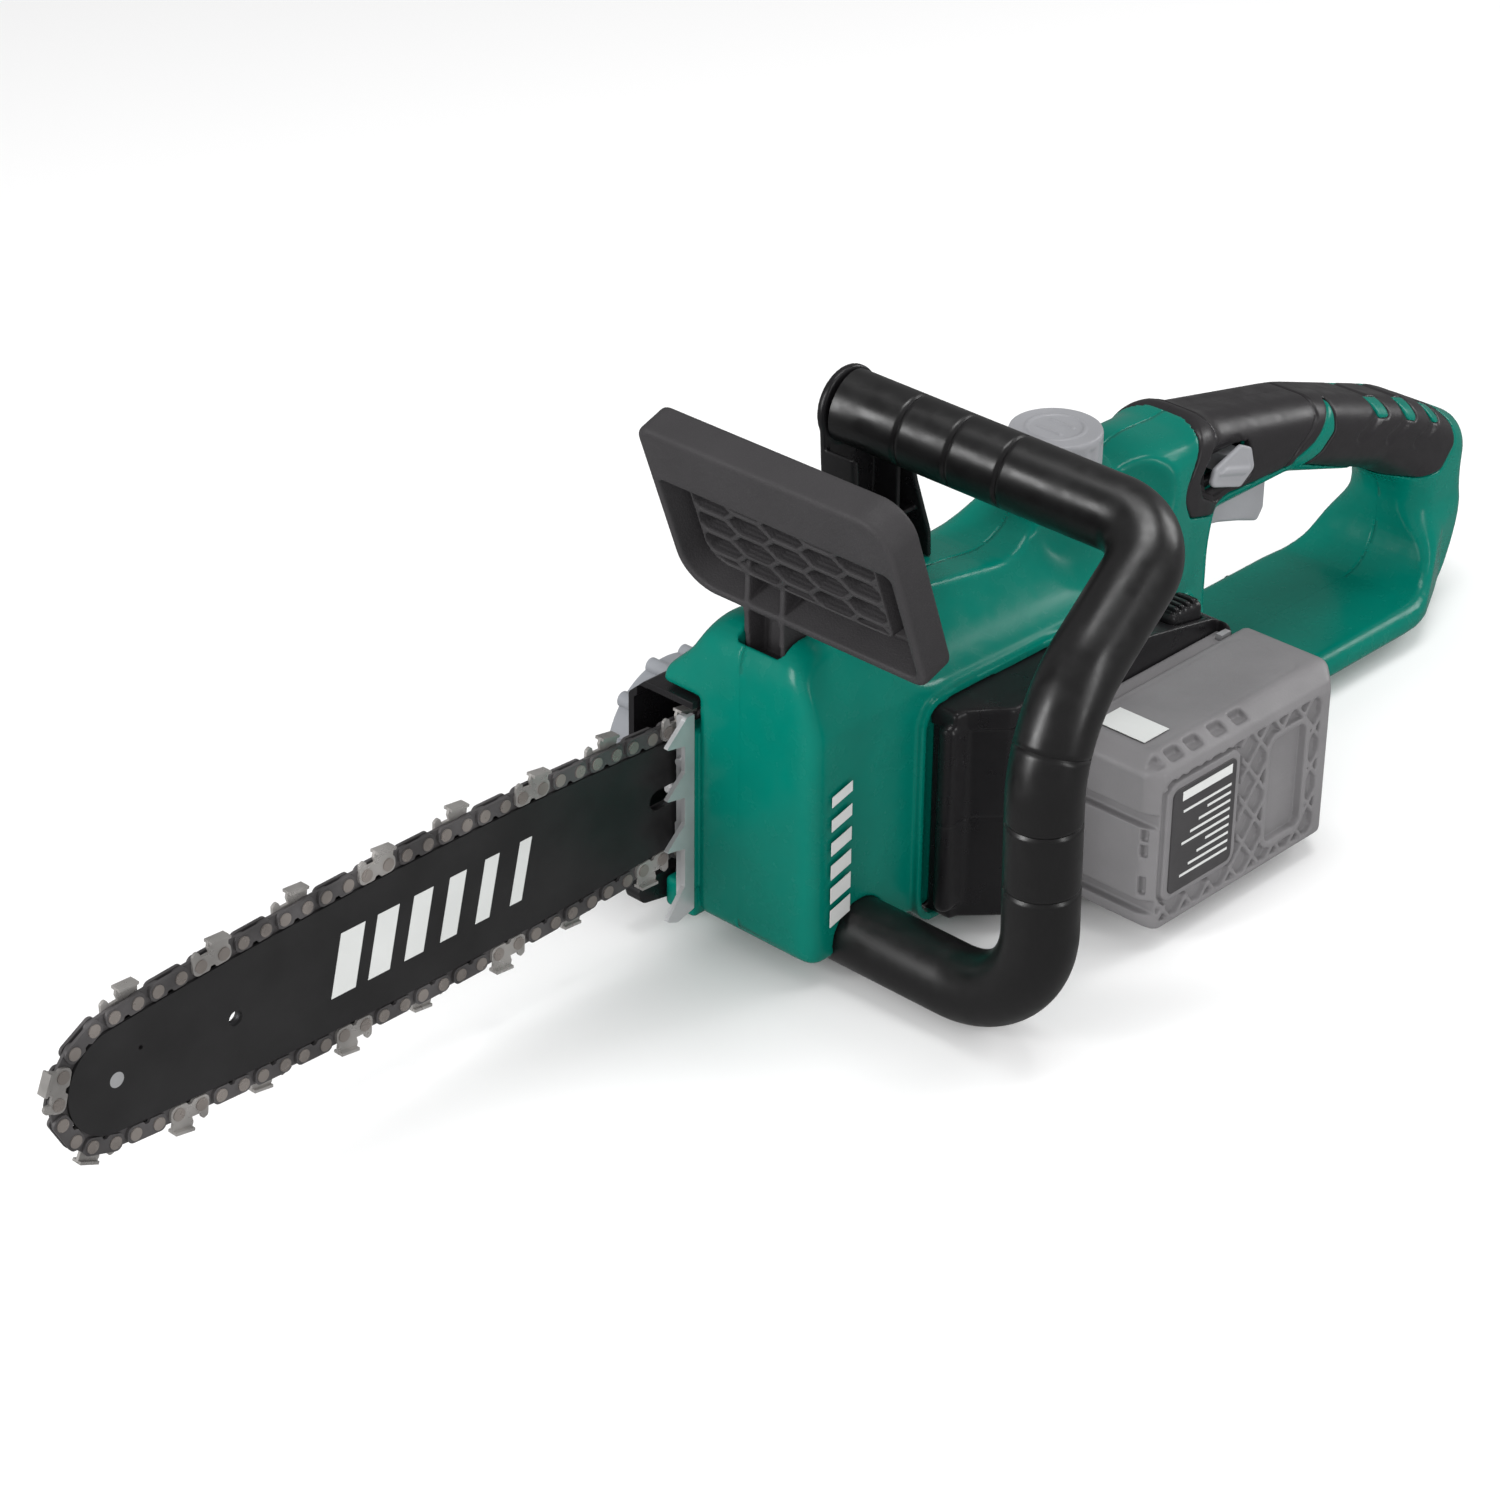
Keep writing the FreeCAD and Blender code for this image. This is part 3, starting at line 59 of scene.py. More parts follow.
def place_camera():
    """Camera seen from the bar's tip and the operator's left, 30 degrees up."""
    right = Vector(CAMERA_RIGHT)
    back = Vector(CAMERA_BACK).normalized()
    up = back.cross(right).normalized()
    right = up.cross(back)
    roll = math.radians(CAMERA_ROLL)
    r2 = math.cos(roll) * right + math.sin(roll) * up
    u2 = -math.sin(roll) * right + math.cos(roll) * up
    data = bpy.data.cameras.new("photo_camera")
    data.lens, data.sensor_width = CAMERA_LENS, CAMERA_SENSOR
    data.clip_start, data.clip_end = 0.05, 30.0
    camera = bpy.data.objects.new("photo_camera", data)
    rows = [(r2[n], u2[n], back[n], CAMERA_PLACE[n]) for n in range(3)]
    camera.matrix_world = Matrix((*rows, (0, 0, 0, 1)))
    bpy.context.scene.collection.objects.link(camera)
    bpy.context.scene.camera = camera


def area_light(name, place, aim, size, power, glossy=True):
    """Rectangular lamp at a place, turned to an aim, seen in reflections or not."""
    data = bpy.data.lights.new(name, "AREA")
    data.shape, data.size, data.size_y, data.energy = "RECTANGLE", size[0], size[1], power
    lamp = bpy.data.objects.new(name, data)
    lamp.location = place
    lamp.rotation_euler = (Vector(aim) - Vector(place)).to_track_quat("-Z", "Y").to_euler()
    lamp.visible_glossy = glossy
    bpy.context.scene.collection.objects.link(lamp)


def studio_world():
    """White surroundings that light evenly and mirror only faintly, as in a studio with dark walls."""
    world = bpy.data.worlds.new("studio")
    world.use_nodes = True
    tree = world.node_tree
    background = tree.nodes["Background"]
    background.inputs["Color"].default_value = (1, 1, 1, 1)
    path = tree.nodes.new("ShaderNodeLightPath")
    level = tree.nodes.new("ShaderNodeMapRange")
    level.inputs["To Min"].default_value = WORLD_LIGHT
    level.inputs["To Max"].default_value = WORLD_MIRRORED
    tree.links.new(path.outputs["Is Glossy Ray"], level.inputs["Value"])
    tree.links.new(level.outputs["Result"], background.inputs["Strength"])
    bpy.context.scene.world = world
    bpy.context.scene.view_settings.view_transform = "Standard"


def stage():
    studio_world()
    area_light("front_fill", (1.5, 1.3, 0.9), (-0.1, 0.05, 0.1), (1.4, 0.9), 15, glossy=False)
    area_light("tall_strip", (-0.25, 1.9, 0.8), (-0.1, 0.05, 0.12), (0.25, 1.3), 8)
    area_light("top_strip", (-0.25, 0.1, 1.5), (-0.12, 0.02, 0.15), (0.4, 0.9), 8)
    area_light("rear_strip", (-1.7, 0.5, 0.9), (-0.2, 0, 0.1), (0.5, 0.9), 9)
    area_light("bar_strip", (1.8, -0.55, 0.75), (0, 0.05, 0.1), (0.5, 1.3), 24)
    lay_floor()


def lay_floor():
    """Plain pale floor that takes shadows and doesn't show in reflections."""
    half = FLOOR_HALF
    corners = [(a * half, b * half, FLOOR_Z) for a, b in ((-1, -1), (1, -1), (1, 1), (-1, 1))]
    data = bpy.data.meshes.new("floor")
    data.from_pydata(corners, [], [(0, 1, 2, 3)])
    floor = bpy.data.objects.new("floor", data)
    bpy.context.scene.collection.objects.link(floor)
    floor.visible_glossy = False
    mat = bpy.data.materials.new("floor")
    mat.use_nodes = True
    shader = mat.node_tree.nodes["Principled BSDF"]
    shader.inputs["Base Color"].default_value = (FLOOR_WHITE, FLOOR_WHITE, FLOOR_WHITE, 1)
    shader.inputs["Roughness"].default_value = 0.85
    shader.inputs["Specular IOR Level"].default_value = 0.1
    data.materials.append(mat)


# ---------------------------------------------------------------- materials
GRAIN_DEPTH, MOTTLE_SIZE, GLOSS_SIZE, GLOSS_SPREAD = 0.0003, 38, 120, 0.06


def finish_of(name, colour, rough, metal=0.0, grain=0.0, grain_size=900.0, mottle=0.05, streak=0.0,
              sheen=0.4):
    """Procedural finish: colour drift, uneven gloss and fine moulding grain."""
    mat = bpy.data.materials.new(name)
    mat.use_nodes = True
    tree = mat.node_tree
    new, link = tree.nodes.new, tree.links.new
    shader = tree.nodes["Principled BSDF"]
    shader.inputs["Metallic"].default_value = metal
    shader.inputs["Specular IOR Level"].default_value = sheen
    where = new("ShaderNodeTexCoord").outputs["Object"]
    if streak:
        stretch = new("ShaderNodeMapping")
        stretch.inputs["Scale"].default_value = (1, 1, streak)
        link(where, stretch.inputs["Vector"])
        where = stretch.outputs["Vector"]

    def noise(scale, detail):
        node = new("ShaderNodeTexNoise")
        node.inputs["Scale"].default_value = scale
        node.inputs["Detail"].default_value = detail
        link(where, node.inputs["Vector"])
        return node.outputs["Fac"]

    def ramp(source, low, high, start=0.35, end=0.65):
        node = new("ShaderNodeMapRange")
        node.inputs["From Min"].default_value, node.inputs["From Max"].default_value = start, end
        node.inputs["To Min"].default_value, node.inputs["To Max"].default_value = low, high
        link(source, node.inputs["Value"])
        return node.outputs["Result"]

    shade = new("ShaderNodeMix")
    shade.data_type = "RGBA"
    shade.inputs["A"].default_value = tuple(c * (1 - mottle) for c in colour) + (1,)
    shade.inputs["B"].default_value = tuple(min(1, c * (1 + mottle)) for c in colour) + (1,)
    link(ramp(noise(MOTTLE_SIZE, 3), 0, 1), shade.inputs["Factor"])
    link(shade.outputs["Result"], shader.inputs["Base Color"])
    gloss = ramp(noise(GLOSS_SIZE, 4), rough - GLOSS_SPREAD, rough + GLOSS_SPREAD)
    link(gloss, shader.inputs["Roughness"])
    if grain:
        bump = new("ShaderNodeBump")
        bump.inputs["Strength"].default_value = grain
        bump.inputs["Distance"].default_value = GRAIN_DEPTH
        link(noise(grain_size, 3), bump.inputs["Height"])
        link(bump.outputs["Normal"], shader.inputs["Normal"])
    return mat


FINISHES = {
    "green_shell": dict(colour=(0.0, 0.150, 0.111), rough=0.24, grain=0.006, mottle=0.03, sheen=0.22),
    "black_plastic": dict(colour=(0.010, 0.0095, 0.0105), rough=0.32, grain=0.08, sheen=0.35),
    "guard_plastic": dict(colour=(0.036, 0.034, 0.036), rough=0.60, grain=0.6, grain_size=1300, sheen=0.3),
    "grip_rubber": dict(colour=(0.018, 0.0165, 0.018), rough=0.36, grain=0.12, grain_size=1300, sheen=0.35),
    "tube_black": dict(colour=(0.006, 0.0057, 0.006), rough=0.34, grain=0.01, mottle=0.02, sheen=0.55),
    "light_grey": dict(colour=(0.285, 0.288, 0.305), rough=0.42, grain=0.10),
    "pack_grey": dict(colour=(0.180, 0.175, 0.180), rough=0.48, grain=0.25),
    "mid_grey": dict(colour=(0.24, 0.25, 0.27), rough=0.46, grain=0.12),
    "bar_black": dict(colour=(0.016, 0.0155, 0.016), rough=0.36, grain=0.04, mottle=0.15),
    "chain_dark": dict(colour=(0.115, 0.110, 0.112), rough=0.34, metal=0.55, mottle=0.3, grain=0.12),
    "cutter_steel": dict(colour=(0.40, 0.385, 0.37), rough=0.30, metal=0.6, mottle=0.3, grain=0.12),
    "rivet_steel": dict(colour=(0.30, 0.27, 0.25), rough=0.30, metal=0.6, mottle=0.25),
    "zinc": dict(colour=(0.66, 0.67, 0.68), rough=0.34, metal=0.6, mottle=0.12, grain=0.10),
    "steel": dict(colour=(0.50, 0.50, 0.51), rough=0.32, metal=0.6, mottle=0.12, grain=0.08),
    "dark_steel": dict(colour=(0.10, 0.10, 0.105), rough=0.38, metal=1.0, mottle=0.2, grain=0.1),
    "sintered": dict(colour=(0.16, 0.155, 0.15), rough=0.5, metal=1.0, mottle=0.25, grain=0.35),
    "copper": dict(colour=(0.50, 0.22, 0.10), rough=0.36, metal=1.0, mottle=0.2, streak=6),
    "brass": dict(colour=(0.52, 0.38, 0.16), rough=0.34, metal=1.0, mottle=0.15),
    "clear_tank": dict(colour=(0.62, 0.61, 0.54), rough=0.4, grain=0.1),
    "board_green": dict(colour=(0.02, 0.11, 0.05), rough=0.3, mottle=0.3),
    "wire_red": dict(colour=(0.30, 0.02, 0.015), rough=0.42, grain=0.1),
    "rubber_black": dict(colour=(0.016, 0.016, 0.016), rough=0.6, grain=0.3),
    "cell_wrap": dict(colour=(0.04, 0.11, 0.30), rough=0.28, mottle=0.1),
    "decal_white": dict(colour=(0.62, 0.63, 0.62), rough=0.42, mottle=0.03),
    "label_dark": dict(colour=(0.050, 0.048, 0.050), rough=0.40, mottle=0.08),
}
LOOKS = {name: finish_of(name, **finish) for name, finish in FINISHES.items()}


def dress_cad():
    """Every carried-over CAD node takes the finish of its record slot."""
    slots = {part["node"]: part["material_slot"] for part in frame["record"]["subparts"]}
    for name, thing in nodes.items():
        thing.data.materials.clear()
        thing.data.materials.append(LOOKS[slots[name]])


# ---------------------------------------------------------------- distances, for moulded shapes
def smax(a, b, k):
    h = np.maximum(k - np.abs(a - b), 0) / k
    return np.maximum(a, b) + h * h * k * 0.25


def smin(a, b, k):
    return -smax(-a, -b, k)


def ease(x, low, high):
    t = np.clip((x - low) / (high - low), 0, 1)
    return t * t * (3 - 2 * t)


def filleted(points):
    """Polygon (p, q, radius) with each corner rounded by short chords."""
    out = []
    count = len(points)
    for i, (px, py, r) in enumerate(points):
        here = np.array((px, py), float)
        before = np.array(points[i - 1][:2], float) - here
        after = np.array(points[(i + 1) % count][:2], float) - here
        la, lb = np.linalg.norm(before), np.linalg.norm(after)
        ua, ub = before / la, after / lb
        angle = math.acos(max(-1, min(1, float(ua @ ub))))
        reach = r / math.tan(angle / 2) if r else 0
        reach = min(reach, 0.49 * la, 0.49 * lb)
        if reach < 0.05:
            out.append(here)
            continue
        r = reach * math.tan(angle / 2)
        centre = here + (ua + ub) / np.linalg.norm(ua + ub) * (r / math.sin(angle / 2))
        a0 = math.atan2(*(here + ua * reach - centre)[::-1])
        a1 = math.atan2(*(here + ub * reach - centre)[::-1])
        turn = (a1 - a0 + math.pi) % (2 * math.pi) - math.pi
        parts = max(2, int(abs(turn) / 0.16))
        out += [centre + r * np.array((math.cos(a0 + turn * s / parts), math.sin(a0 + turn * s / parts)))
                for s in range(parts + 1)]
    return np.array(out)


def poly(p, q, points):
    """Signed distance to a rounded polygon, over two grids that broadcast."""
    ring = filleted(points)
    p, q = np.broadcast_arrays(p, q)
    best = np.full(p.shape, 1e9, np.float32)
    inside = np.zeros(p.shape, bool)
    for (ax, ay), (bx, by) in zip(ring, np.roll(ring, -1, axis=0)):
        ex, ey = bx - ax, by - ay
        wx, wy = p - ax, q - ay
        t = np.clip((wx * ex + wy * ey) / (ex * ex + ey * ey + 1e-12), 0, 1)
        best = np.minimum(best, (wx - ex * t) ** 2 + (wy - ey * t) ** 2)
        if abs(ey) > 1e-9:
            crosses = (ay > q) != (by > q)
            inside ^= crosses & (p < ex * (q - ay) / ey + ax)
    best = np.sqrt(best)
    return np.where(inside, -best, best).astype(np.float32)


def block(x, y, z, low, high, r=0.0):
    """Box with rounded edges."""
    gaps = [np.abs(a - (l + h) / 2) - (h - l) / 2 + r for a, l, h in zip((x, y, z), low, high)]
    out = np.sqrt(sum(np.maximum(g, 0) ** 2 for g in gaps))
    return out + np.minimum(np.maximum(np.maximum(gaps[0], gaps[1]), gaps[2]), 0) - r


def rod(a, b, ca, cb, r):
    return np.sqrt((a - ca) ** 2 + (b - cb) ** 2) - r


def capsule(x, y, z, a, b, r):
    a, b = np.array(a, float), np.array(b, float)
    d = b - a
    t = np.clip(((x - a[0]) * d[0] + (y - a[1]) * d[1] + (z - a[2]) * d[2]) / (d @ d), 0, 1)
    return np.sqrt((x - a[0] - d[0] * t) ** 2 + (y - a[1] - d[1] * t) ** 2 + (z - a[2] - d[2] * t) ** 2) - r


def polyline(p, q, points):
    """Distance to an open line of straight pieces."""
    best = np.float32(1e9)
    for (ax, ay), (bx, by) in zip(points, points[1:]):
        ex, ey = bx - ax, by - ay
        t = np.clip(((p - ax) * ex + (q - ay) * ey) / (ex * ex + ey * ey), 0, 1)
        best = np.minimum(best, np.hypot(p - ax - ex * t, q - ay - ey * t))
    return best


def rounded_slab(flat, across, r):
    """Outline given by a flat distance, cut to a thickness, with rounded rims."""
    u, v = flat + r, across + r
    return np.sqrt(np.maximum(u, 0) ** 2 + np.maximum(v, 0) ** 2) + np.minimum(np.maximum(u, v), 0) - r


CORNERS = [(i, j, k) for i in (0, 1) for j in (0, 1) for k in (0, 1)]


def surface_net(d, low, size):
    """Quads round the zero level of a sampled distance, one point for each cell it crosses."""
    inside = d < 0
    cells = tuple(n - 1 for n in d.shape)
    total = np.zeros(cells, np.uint8)
    for c in CORNERS:
        total += inside[tuple(slice(s, s + n) for s, n in zip(c, cells))]
    active = np.argwhere((total > 0) & (total < 8))
    points = (crossing_middles(d, active) + active) * size + np.array(low)
    label = np.full(cells, -1, np.int64)
    label[tuple(active.T)] = np.arange(len(active))
    faces = [faces_across(inside, label, axis) for axis in range(3)]
    return points, np.concatenate(faces)


def crossing_middles(d, active):
    """Mean of the edge crossings in each active cell, in cell units from its low corner."""
    value = {c: d[active[:, 0] + c[0], active[:, 1] + c[1], active[:, 2] + c[2]] for c in CORNERS}
    points = np.zeros((len(active), 3))
    weight = np.zeros(len(active))
    for a in CORNERS:
        for axis in range(3):
            if a[axis]:
                continue
            b = tuple(v + (1 if n == axis else 0) for n, v in enumerate(a))
            crossed = (value[a] < 0) != (value[b] < 0)
            t = np.where(crossed, value[a] / np.where(crossed, value[a] - value[b], 1), 0)
            spot = np.array(a, float)[None, :].repeat(len(active), 0)
            spot[:, axis] += t
            points += spot * crossed[:, None]
            weight += crossed
    return points / weight[:, None]


def faces_across(inside, label, axis):
    """One quad for each grid edge along an axis that crosses the surface, wound outwards."""
    u, v = [n for n in range(3) if n != axis]
    first = [slice(0, n) for n in inside.shape]
    second = list(first)
    first[axis], second[axis] = slice(0, inside.shape[axis] - 1), slice(1, inside.shape[axis])
    for n in (u, v):
        first[n] = second[n] = slice(1, inside.shape[n] - 1)
    one, two = inside[tuple(first)], inside[tuple(second)]
    where = np.argwhere(one != two)
    solid = one[tuple(where.T)]
    ring = []
    for du, dv in ((0, 0), (1, 0), (1, 1), (0, 1)):
        spot = where.copy()
        spot[:, u] += du
        spot[:, v] += dv
        ring.append(label[tuple(spot.T)])
    quad = np.stack(ring, 1)
    flip = ~solid if axis != 1 else solid
    quad[flip] = quad[flip][:, ::-1]
    return quad


def mesh_piece(name, points, faces, look, body, replaces=(), smooth=180):
    """Object from points and faces of one size, in millimetres."""
    data = bpy.data.meshes.new(name)
    data.vertices.add(len(points))
    data.vertices.foreach_set("co", (np.asarray(points, np.float32) * MM).ravel())
    data.loops.add(faces.size)
    data.loops.foreach_set("vertex_index", faces.astype(np.int32).ravel())
    data.polygons.add(len(faces))
    data.polygons.foreach_set("loop_start", np.arange(0, faces.size, faces.shape[1], dtype=np.int32))
    data.update(calc_edges=True)
    data.validate()
    data.polygons.foreach_set("use_smooth", np.ones(len(data.polygons), bool))
    if smooth < 180:
        data.set_sharp_from_angle(angle=math.radians(smooth))
    piece = bpy.data.objects.new(name, data)
    data.materials.append(LOOKS[look])
    bpy.context.scene.collection.objects.link(piece)
    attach(piece, body)
    if replaces:
        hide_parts(*replaces)
    return piece


def moulded(name, low, high, size, shape, look, body, replaces=(), most=None, half=0):
    """Piece whose surface is where shape(x, y, z) is zero, sampled on a grid of one size.
    With half 1 or -1 only the material on that side of the parting plane is kept."""
    axes = [np.arange(l, h + size, size, dtype=np.float32) for l, h in zip(low, high)]
    x, y, z = axes[0][:, None, None], axes[1][None, :, None], axes[2][None, None, :]
    d = np.broadcast_to(shape(x, y, z), tuple(len(a) for a in axes)).astype(np.float32)
    d[[0, -1]] = 1
    d[:, [0, -1]] = 1
    d[:, :, [0, -1]] = 1
    whole = d
    if half:
        d = np.maximum(d, PARTING - half * y)
    points, faces = surface_net(d, low, size)
    off_plane = np.abs(points[:, 1] - half * PARTING)
    points = relaxed(points, faces)
    if half:
        near = off_plane < 0.97 * size
        square_up(points, near, off_plane > 1e-3, whole, low, size, half * PARTING)
    piece = mesh_piece(name, points, faces, look, body, replaces, SHARP_ANGLE if half else 180)
    if most and 2 * len(faces) > most:
        thin = piece.modifiers.new("thin", "DECIMATE")
        thin.ratio = most / (2 * len(faces))
    return piece


def square_up(points, by_plane, off_plane, d, low, size, plane):
    """Cut face made flat, and its rim drawn out to the true corner with the outer surface."""
    points[by_plane, 1] = plane
    rim = np.flatnonzero(by_plane & off_plane)
    for _ in range(3):
        value, slope_x, slope_z = sampled(d, (points[rim] - np.array(low)) / size)
        step = np.clip(value, -0.5, 0.5) / np.maximum(slope_x ** 2 + slope_z ** 2, 0.25)
        points[rim, 0] -= np.clip(step * slope_x, -0.4, 0.4) * size
        points[rim, 2] -= np.clip(step * slope_z, -0.4, 0.4) * size


def sampled(d, spot):
    """Value and the x and z slopes of a grid at places between its samples."""
    cell = np.minimum(spot.astype(int), np.array(d.shape) - 2)
    part = spot - cell
    value = slope_x = slope_z = 0
    for i, j, k in CORNERS:
        sample = d[cell[:, 0] + i, cell[:, 1] + j, cell[:, 2] + k]
        wx, wy, wz = (abs(1 - c - part[:, n]) for n, c in enumerate((i, j, k)))
        value = value + sample * wx * wy * wz
        slope_x = slope_x + sample * (2 * i - 1) * wy * wz
        slope_z = slope_z + sample * (2 * k - 1) * wx * wy
    return value, slope_x, slope_z


def relaxed(points, faces):
    """One light smoothing pass that doesn't shrink."""
    for gain in (0.5, -0.52):
        total = np.zeros_like(points)
        count = np.zeros(len(points))
        for a, b in ((0, 1), (1, 2), (2, 3), (3, 0)):
            for s, t in ((a, b), (b, a)):
                for n in range(3):
                    total[:, n] += np.bincount(faces[:, s], points[faces[:, t], n], len(points))
                count += np.bincount(faces[:, s], minlength=len(points))
        points = points + gain * (total / count[:, None] - points)
    return points


# ---------------------------------------------------------------- green housing
SIDE = [(28, 7, 9), (28, 141, 17), (-40, 135, 60), (-112, 125, 30), (-132, 137, 14), (-172, 139, 14),
        (-192, 150, 16), (-231, 146, 10), (-231, 7, 4)]
SECTION = [(39, 7, 5), (39, 107, 7), (24, 146, 22), (-14, 150, 20), (-26, 124, 26), (-42, 109, 9),
           (-42, 103, 0.8), (-23, 103, 0.8), (-23, 7, 4)]
PLAN = [(28, 39, 10), (-140, 39, 40), (-231, 23, 12), (-231, -23, 12), (-170, -42, 20), (28, -42, 3)]
HANDLE = [(-176, 150, 12), (-228, 145.5, 60), (-310, 128, 100), (-380, 104, 60), (-427, 79, 18),
          (-424, 40, 40), (-402, 7, 26), (-176, 7, 12)]
LOOP = [(-228, 99, 14), (-290, 99, 30), (-350, 80, 24), (-381, 62, 18), (-381, 20, 22), (-256, 20, 20),
        (-228, 40, 20)]
FOOT = [(-215, 26, 4), (-234, 28, 10), (-292, 42, 40), (-362, 42, 40), (-398, 24, 14), (-429, 17, 8),
        (-429, -17, 8), (-398, -24, 14), (-362, -42, 40), (-292, -42, 40), (-234, -28, 10), (-215, -26, 4)]
GRIP = [(-240, 175, 2), (-232, 151, 5), (-219, 145, 8), (-213, 137, 8), (-202.5, 124, 8), (-209, 112, 5),
        (-228, 106, 3), (-242, 109.5, 10), (-279, 107.4, 10), (-290, 106, 3), (-297, 103, 3),
        (-339, 85.5, 10), (-365.6, 72.3, 10), (-383, 67, 8), (-397, 66.5, 6), (-407, 76, 6), (-408, 84, 5),
        (-400.7, 94, 5), (-404, 112, 6), (-412, 175, 2)]
STRIPE = [(-319, 127, 1.5), (-309, 120.5, 3), (-299, 113, 6), (-288, 109.5, 2), (-284, 100, 1),
          (-294, 101, 1), (-305, 106.5, 6), (-313.4, 113, 4)]
THUMB = [(-213.8, 127, 3), (-224, 137, 4), (-249, 136, 4), (-254, 129, 4), (-256.5, 114, 4),
         (-250, 110, 3), (-232, 109, 4), (-217, 118, 3)]
GRIP_LIGHTS = [[(-347, 119, 2), (-356.5, 115.5, 2), (-357, 104.5, 2), (-349, 107, 2)],
               [(-368.5, 110, 2), (-377, 106.5, 2), (-377.5, 96, 2), (-370.5, 99, 2)],
               [(-387.5, 102, 2), (-396, 98, 2), (-397.5, 88, 2), (-391.5, 90.5, 2)]]
GRIP_FLUTES = [[(-333, 104), (-348, 108), (-352, 118)], [(-355, 96), (-369, 99), (-373, 110)],
               [(-376, 87), (-390, 90), (-392, 102)]]
GRIP_RINGS = [[(-292, 170), (-303, 136), (-305.6, 130), (-303, 123), (-289, 115), (-279, 106)],
              [(-213, 170), (-226, 153), (-230, 147), (-229.5, 140)]]
HOUSING_SIDE = [(-34, 7, 8), (-34, 98.5, 8), (-52, 99.6, 20), (-106, 98.5, 30), (-150, 93, 20),
                (-192, 85, 9), (-199, 64, 8), (-199, 7, 6)]
HOUSING_PLAN = [(-38, -10, 0), (-38, 50.5, 1.5), (-43, 51.5, 2), (-56, 64, 5), (-199, 64, 6),
                (-199, -10, 0)]
SCREWS = [(18, 107, -42), (-58, 17, -23), (-210, 17, -23), (-220, 48, -23), (-330, 13.5, -42)]
SCREW_BOSS_R, SCREW_HEAD_R, SCREW_R = 5.4, 3.4, 1.7
SHELL_WALL, SKIN = 2.8, 2.2
CAP_X, CAP_Y = -150, 2
TUBE_FOOT_X, TUBE_FOOT_Z, TUBE_FOOT_Y = -1, 14.5, 24
GUARD_PIN_X, GUARD_PIN_Z, GUARD_Y = 12, 122, 6
LOCK_SLOT = (-254, -60, 115), (-227, 60, 130)


def handle(x, y, z):
    """Rear handle: a ring seen from the side, wide and flat at its foot, nearly round at the grip."""
    ring = np.maximum(poly(x, z, HANDLE), -poly(x, z, LOOP))
    flare = 21 + 21 * (1 - ease(z, 17, 52))
    across = smax(np.abs(y) - flare, poly(x, y, FOOT), 5)
    return rounded_slab(ring, across, 6 + 8.5 * ease(z, 26, 62))


def housing(x, y, z):
    body = smax(smax(poly(x, z, SIDE), poly(y, z, SECTION), 7), poly(x, y, PLAN), 5)
    scoop = capsule(x, y, z, (-50, 52, 141), (-166, 52, 137.5), 39)
    body = smax(body, -scoop, 3)
    boss = np.maximum(rod(x, y, -150, 2, 22.5), np.abs(z - 110) - 38.5)
    both = smin(smin(body, boss, 9), handle(x, y, z), 9)
    return smin(both, capsule(x, y, z, (-207, 24, 72), (-207, 30, 72), 6), 3)


def grip_zone(x, z):
    return np.maximum(poly(x, z, GRIP), -poly(x, z, STRIPE))


def skin_seat(x, y, z, d, spare):
    """Space that the soft skins fill: a layer on the handle, deeper round the thumb paddles."""
    zone = grip_zone(x, z) - spare
    deep = np.maximum(poly(x, z, THUMB) - 1.5, 17.5 - np.abs(y)) - spare
    seat = np.maximum(zone, np.minimum(-(d + SKIN + spare), deep))
    for window in GRIP_LIGHTS:
        seat = np.maximum(seat, -np.maximum(poly(x, z, window) - spare, 9 - np.abs(y)))
    return seat


def green_shell(x, y, z):
    """Both halves together: wall, seats of the skins, bosses and openings."""
    d = housing(x, y, z)
    zone = grip_zone(x, z)
    wall = SHELL_WALL + (SKIN + 0.4) * (1 - ease(zone, 0, 8))
    rim = np.maximum(np.abs(poly(x, z, HOUSING_SIDE) - 1.9) - 1.5, np.abs(y - 38) - 2.6)
    outer = smin(d, rim, 1.5)
    green = np.maximum(smax(outer, -skin_seat(x, y, z, d, 0.3), 1.1), -(d + wall))
    return shell_openings(x, y, z, np.minimum(green, np.maximum(shell_bosses(x, y, z), d)))


def shell_bosses(x, y, z):
    """Pocket for the guard's stalk, socket for the tube's foot, and the screw bosses."""
    tube = rod(x, z, TUBE_FOOT_X, TUBE_FOOT_Z, 17.6)
    pocket = block(x, y, z, (-1.5, -8, 110), (25.5, 20, 160), 1)
    bosses = np.minimum(pocket, np.maximum(tube, TUBE_FOOT_Y - y))
    for sx, sz, _ in SCREWS:
        bosses = np.minimum(bosses, rod(x, z, sx, sz, SCREW_BOSS_R))
    return bosses


